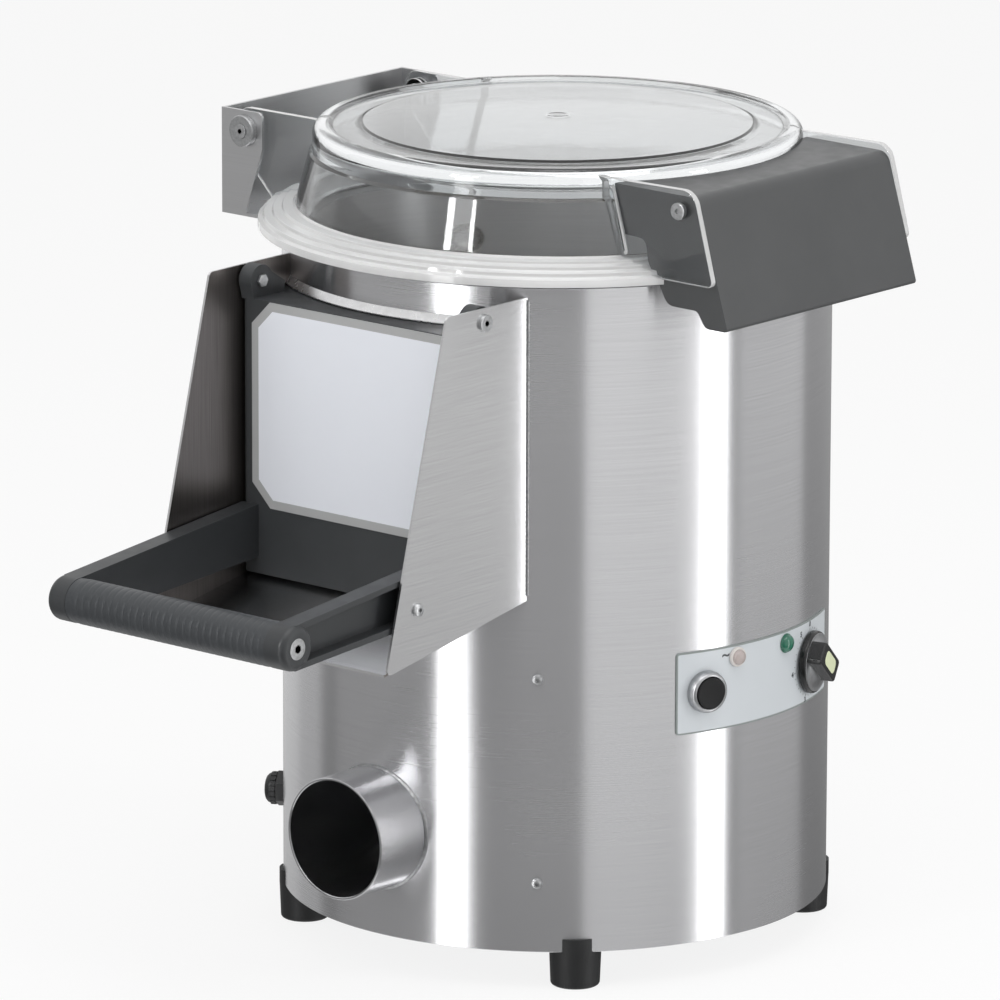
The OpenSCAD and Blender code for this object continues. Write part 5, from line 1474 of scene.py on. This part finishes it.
@dataclass
class Door(SubAssembly):
    """The discharge door with its label, arms and grip bar."""

    body: str = "door"
    front_x: float = 178.0
    label_w: float = 161.0
    label_h: float = 122.8
    label_top: float = 370.8
    label_t: float = 0.7
    chamfer: float = 14.0
    edge: float = 5.6
    grip: Point = (-330.0, 220.5)
    grip_r: float = 13.2
    grip_bore: float = 3.1
    grip_half: float = 76.2
    pitch: float = 5.2
    rib: float = 0.22

    def build(self) -> None:
        """Builds the door's pieces."""
        self.refine("door_panel", DOOR_PLASTIC, "charcoal_plastic", 1.0, 3)
        self.refine("door_arm_left", ARM_PLASTIC, "charcoal_plastic", 0.8, 3)
        self.refine("door_arm_right", ARM_PLASTIC, "charcoal_plastic", 0.8, 3)
        self.piece("blank_label", self.label(), [LABEL_EDGE, LABEL_FACE], "label_film",
                   ["door_label"])
        self.piece("door_grip_bar", self.bar(), GRIP_PLASTIC, "grip_plastic", ["grip_bar"])
        heads = gathered(pair(screw(6.3, 1.7, 2.6, 1.6), "Y", 89.2, *self.grip))
        self.piece("grip_screw_heads", heads, SCREW_STEEL, "bright_screw", ["grip_screws"])

    def label(self) -> BMesh:
        """Returns the blank label: a pale face in a grey edge, with cut corners."""
        x, high, cut = self.label_w / 2, self.label_top, self.chamfer
        low = high - self.label_h
        bm = plate([(-x + cut, low), (x - cut, low), (x, low + cut), (x, high - cut),
                    (x - cut, high), (-x + cut, high), (-x, high - cut), (-x, low + cut)],
                   self.label_t)
        top = [f for f in bm.faces if f.calc_center_median().z > self.label_t - 0.1]
        bmesh.ops.inset_region(bm, faces=top, thickness=self.edge)
        top[0].material_index = 1
        bevel(bm, [e for e in bm.edges if e.is_manifold and e.calc_face_angle(0.0) > 1.0], 0.15, 2)
        stand = Matrix(((0, 0, -1, 0), (-1, 0, 0, 0), (0, 1, 0, 0), (0, 0, 0, 1)))
        bm.transform(Matrix.Translation((-self.front_x - SEAT, 0.0, 0.0)) @ stand)
        return bm

    def bar(self) -> BMesh:
        """Returns the grip bar with its shallow ribs."""
        half, bore, core = self.grip_half, self.grip_bore, self.grip_r - self.rib
        count = int(2 * half / self.pitch) - 1
        start = half - count * self.pitch / 2
        wave = ((0.0, 0.0), (0.14, 0.75), (0.24, 1.0), (0.66, 1.0), (0.76, 0.75), (0.9, 0.0))
        ribs = [(core + self.rib * out, start + self.pitch * (i + share))
                for i in range(count) for share, out in wave]
        bm = revolve([(bore, 0.0), (core, 0.0), *ribs, (core, 2 * half), (bore, 2 * half),
                      (bore, 0.0)], 72)
        x, h = self.grip
        bm.transform(facing("Y", 1, (x, -half, h)))
        return bm


# Studio


@dataclass(frozen=True)
class Card:
    """A soft card bent round the object, which only its reflections see.

    Attributes:
        name: The card's name.
        start: Where it starts, in degrees round the drum.
        end: Where it ends.
        level: How bright it is, where the white world is 1.
        foot: How much of that is left at its lower end.
        head: How bright it is at its upper end, which the lid reflects.
        low: Height of its lower end, in metres.
        nearer: How far it stands in front of the others, in metres.
    """

    name: str
    start: float
    end: float
    level: float
    foot: float
    head: float
    low: float = -1.4
    nearer: float = 0.0

    def build(self) -> None:
        """Stands the card."""
        reach, high = 1.6 - self.nearer, 1.05
        turn = math.radians(self.start)
        bm = bmesh.new()
        ends = [bm.verts.new((reach * math.cos(turn), reach * math.sin(turn), h))
                for h in (self.low, high)]
        sweep = self.end - self.start
        bmesh.ops.spin(bm, geom=[*ends, bm.edges.new(ends)], cent=(0.0, 0.0, 0.0),
                       axis=(0.0, 0.0, 1.0), angle=math.radians(sweep),
                       steps=max(4, int(sweep / 3)))
        made = placed(self.name, meshed(self.name, bm))
        made.data.materials.append(self.felt())
        made.visible_camera = False
        made.visible_diffuse = False
        made.visible_shadow = False
        made.visible_transmission = False

    def felt(self) -> bpy.types.Material:
        """Returns the card's own glow, with its own levels at foot and head."""
        made = bpy.data.materials.new(f"Studio card, {self.name}")
        tree = fresh_tree(made)
        place = add(tree, "TexCoord").outputs["Object"]
        height = add(tree, "SeparateXYZ", {"Vector": place}).outputs["Z"]
        lower = ranged(tree, height, (-0.5, 0.1), (self.level * self.foot, self.level))
        rise = ranged(tree, height, (0.5, 0.75), (0.0, 1.0))
        strength = add(tree, "Mix", {0: rise, 2: lower, 3: self.head}, data_type="FLOAT")
        inputs = {"Color": linear("#ffffff"), "Strength": strength.outputs[0]}
        glow = add(tree, "Emission", inputs)
        add(tree, "OutputMaterial", {"Surface": glow.outputs["Emission"]})
        return made


@dataclass
class Studio:
    """The floor, the light and the camera.

    Two bright cards and two glints give the steel its white streaks, and grey cards its darker
    bands. They go on below the floor, which reflections don't see, and get darker there.
    """

    camera_place: Place = (-4112.34, -3490.21, 1581.68)
    camera_turn: Place = (76.16465, -0.1521, -49.28735)
    lens: float = 337.875
    sensor: float = 36.0
    cards: tuple[Card, ...] = (
        Card("far_left_card", 56.0, 88.0, 0.85, 0.5, 1.0),
        Card("back_left_card", 88.0, 109.0, 0.66, 0.5, 1.0),
        Card("dark_left_card", 109.0, 120.0, 0.34, 0.45, 0.5),
        Card("left_card", 120.0, 172.0, 0.48, 0.45, 0.5),
        Card("left_streak", 173.6, 182.6, 4.5, 1.0, 2.5),
        Card("camera_card", 186.0, 231.6, 0.42, 0.4, 0.5),
        Card("front_card", 231.6, 281.6, 1.0, 0.36, 0.8),
        Card("right_streak", 282.4, 291.6, 4.5, 1.0, 4.5),
        Card("edge_card", 292.0, 299.0, 0.42, 0.4, 1.0),
        Card("right_card", 299.0, 341.0, 0.7, 0.4, 1.0),
        Card("right_back_card", 341.0, 388.0, 0.38, 0.4, 1.0),
        Card("back_card", 388.0, 416.0, 0.5, 0.6, 1.0),
        Card("first_glint", 171.4, 174.4, 26.0, 1.0, 26.0, 0.6, 0.03),
        Card("second_glint", 182.6, 184.4, 26.0, 1.0, 26.0, 0.6, 0.03),
    )

    def build(self) -> None:
        """Sets the studio up."""
        self.camera()
        self.world()
        self.floor()
        self.softboxes()
        for card in self.cards:
            card.build()
        bpy.context.scene.view_settings.view_transform = "Standard"

    def camera(self) -> None:
        """Places the camera where the photograph was taken from."""
        data = bpy.data.cameras.new("photo_camera")
        data.lens = self.lens
        data.sensor_width = self.sensor
        data.sensor_fit = "HORIZONTAL"
        data.clip_end = 100.0
        made = placed("photo_camera", data)
        made.location = Vector(self.camera_place) * MM
        made.rotation_euler = [math.radians(a) for a in self.camera_turn]
        bpy.context.scene.camera = made

    def world(self) -> None:
        """Makes the world white to the camera and to reflections, and softer as a light."""
        world = bpy.data.worlds.new("studio")
        tree = fresh_tree(world)
        path = add(tree, "LightPath").outputs
        seen = maths(tree, "ADD", path["Is Camera Ray"], path["Is Glossy Ray"])
        through = maths(tree, "ADD", seen, path["Is Transmission Ray"], use_clamp=True)
        strength = ranged(tree, through, (0.0, 1.0), (0.55, 1.0))
        back = add(tree, "Background", {"Color": linear("#ffffff"), "Strength": strength})
        add(tree, "OutputWorld", {"Surface": back.outputs["Background"]})
        bpy.context.scene.world = world

    def floor(self) -> None:
        """Lays a pale floor that keeps the object's shadow."""
        bm = bmesh.new()
        bmesh.ops.create_circle(bm, cap_ends=True, segments=96, radius=14.0)
        made = bpy.data.materials.new("Studio floor, matt white")
        tree = fresh_tree(made)
        matt = add(tree, "BsdfDiffuse", {"Color": linear("#f4f4f4")})
        glow = add(tree, "Emission", {"Color": linear("#ffffff"), "Strength": 1.0})
        seen = add(tree, "LightPath").outputs["Is Camera Ray"]
        share = maths(tree, "MULTIPLY", seen, 0.85)
        inputs = {0: share, 1: matt.outputs["BSDF"], 2: glow.outputs["Emission"]}
        both = add(tree, "MixShader", inputs)
        add(tree, "OutputMaterial", {"Surface": both.outputs["Shader"]})
        ground = placed("studio_floor", meshed("studio_floor", bm))
        ground.data.materials.append(made)
        ground.visible_glossy = False

    def softboxes(self) -> None:
        """Hangs the soft lamps: two upright strips and one box overhead."""
        for name, angle, reach, height, size, power in (
            ("left_strip", 177.0, 2.2, 1.1, (0.42, 2.2), 9.0),
            ("right_strip", -69.5, 2.2, 1.1, (0.55, 2.2), 12.0),
            ("overhead", -120.0, 0.6, 2.4, (1.8, 1.8), 22.0),
        ):
            data = bpy.data.lights.new(name, "AREA")
            data.shape = "RECTANGLE"
            data.size, data.size_y = size
            data.energy = power
            turn = math.radians(angle)
            place = Vector((reach * math.cos(turn), reach * math.sin(turn), height))
            aim = Vector((0.0, 0.0, 0.25 if name == "overhead" else height)) - place
            lamp = placed(name, data)
            lamp.location = place
            lamp.rotation_euler = aim.to_track_quat("-Z", "Y").to_euler()
            lamp.visible_camera = False
            lamp.visible_glossy = name == "overhead"


def main() -> None:
    """Builds the studio and every sub-assembly in turn."""
    logging.basicConfig(level=logging.INFO, format="%(name)s: %(message)s")
    Studio().build()
    for assembly in (
        Drum(),
        Chute(),
        Hinge(),
        Base(),
        Spindle(),
        Rotor(),
        Controls(),
        StartButton(),
        TimerKnob(),
        Connections(),
        Lid(),
        Door(),
    ):
        assembly.build()


if __name__ == "__main__":
    main()
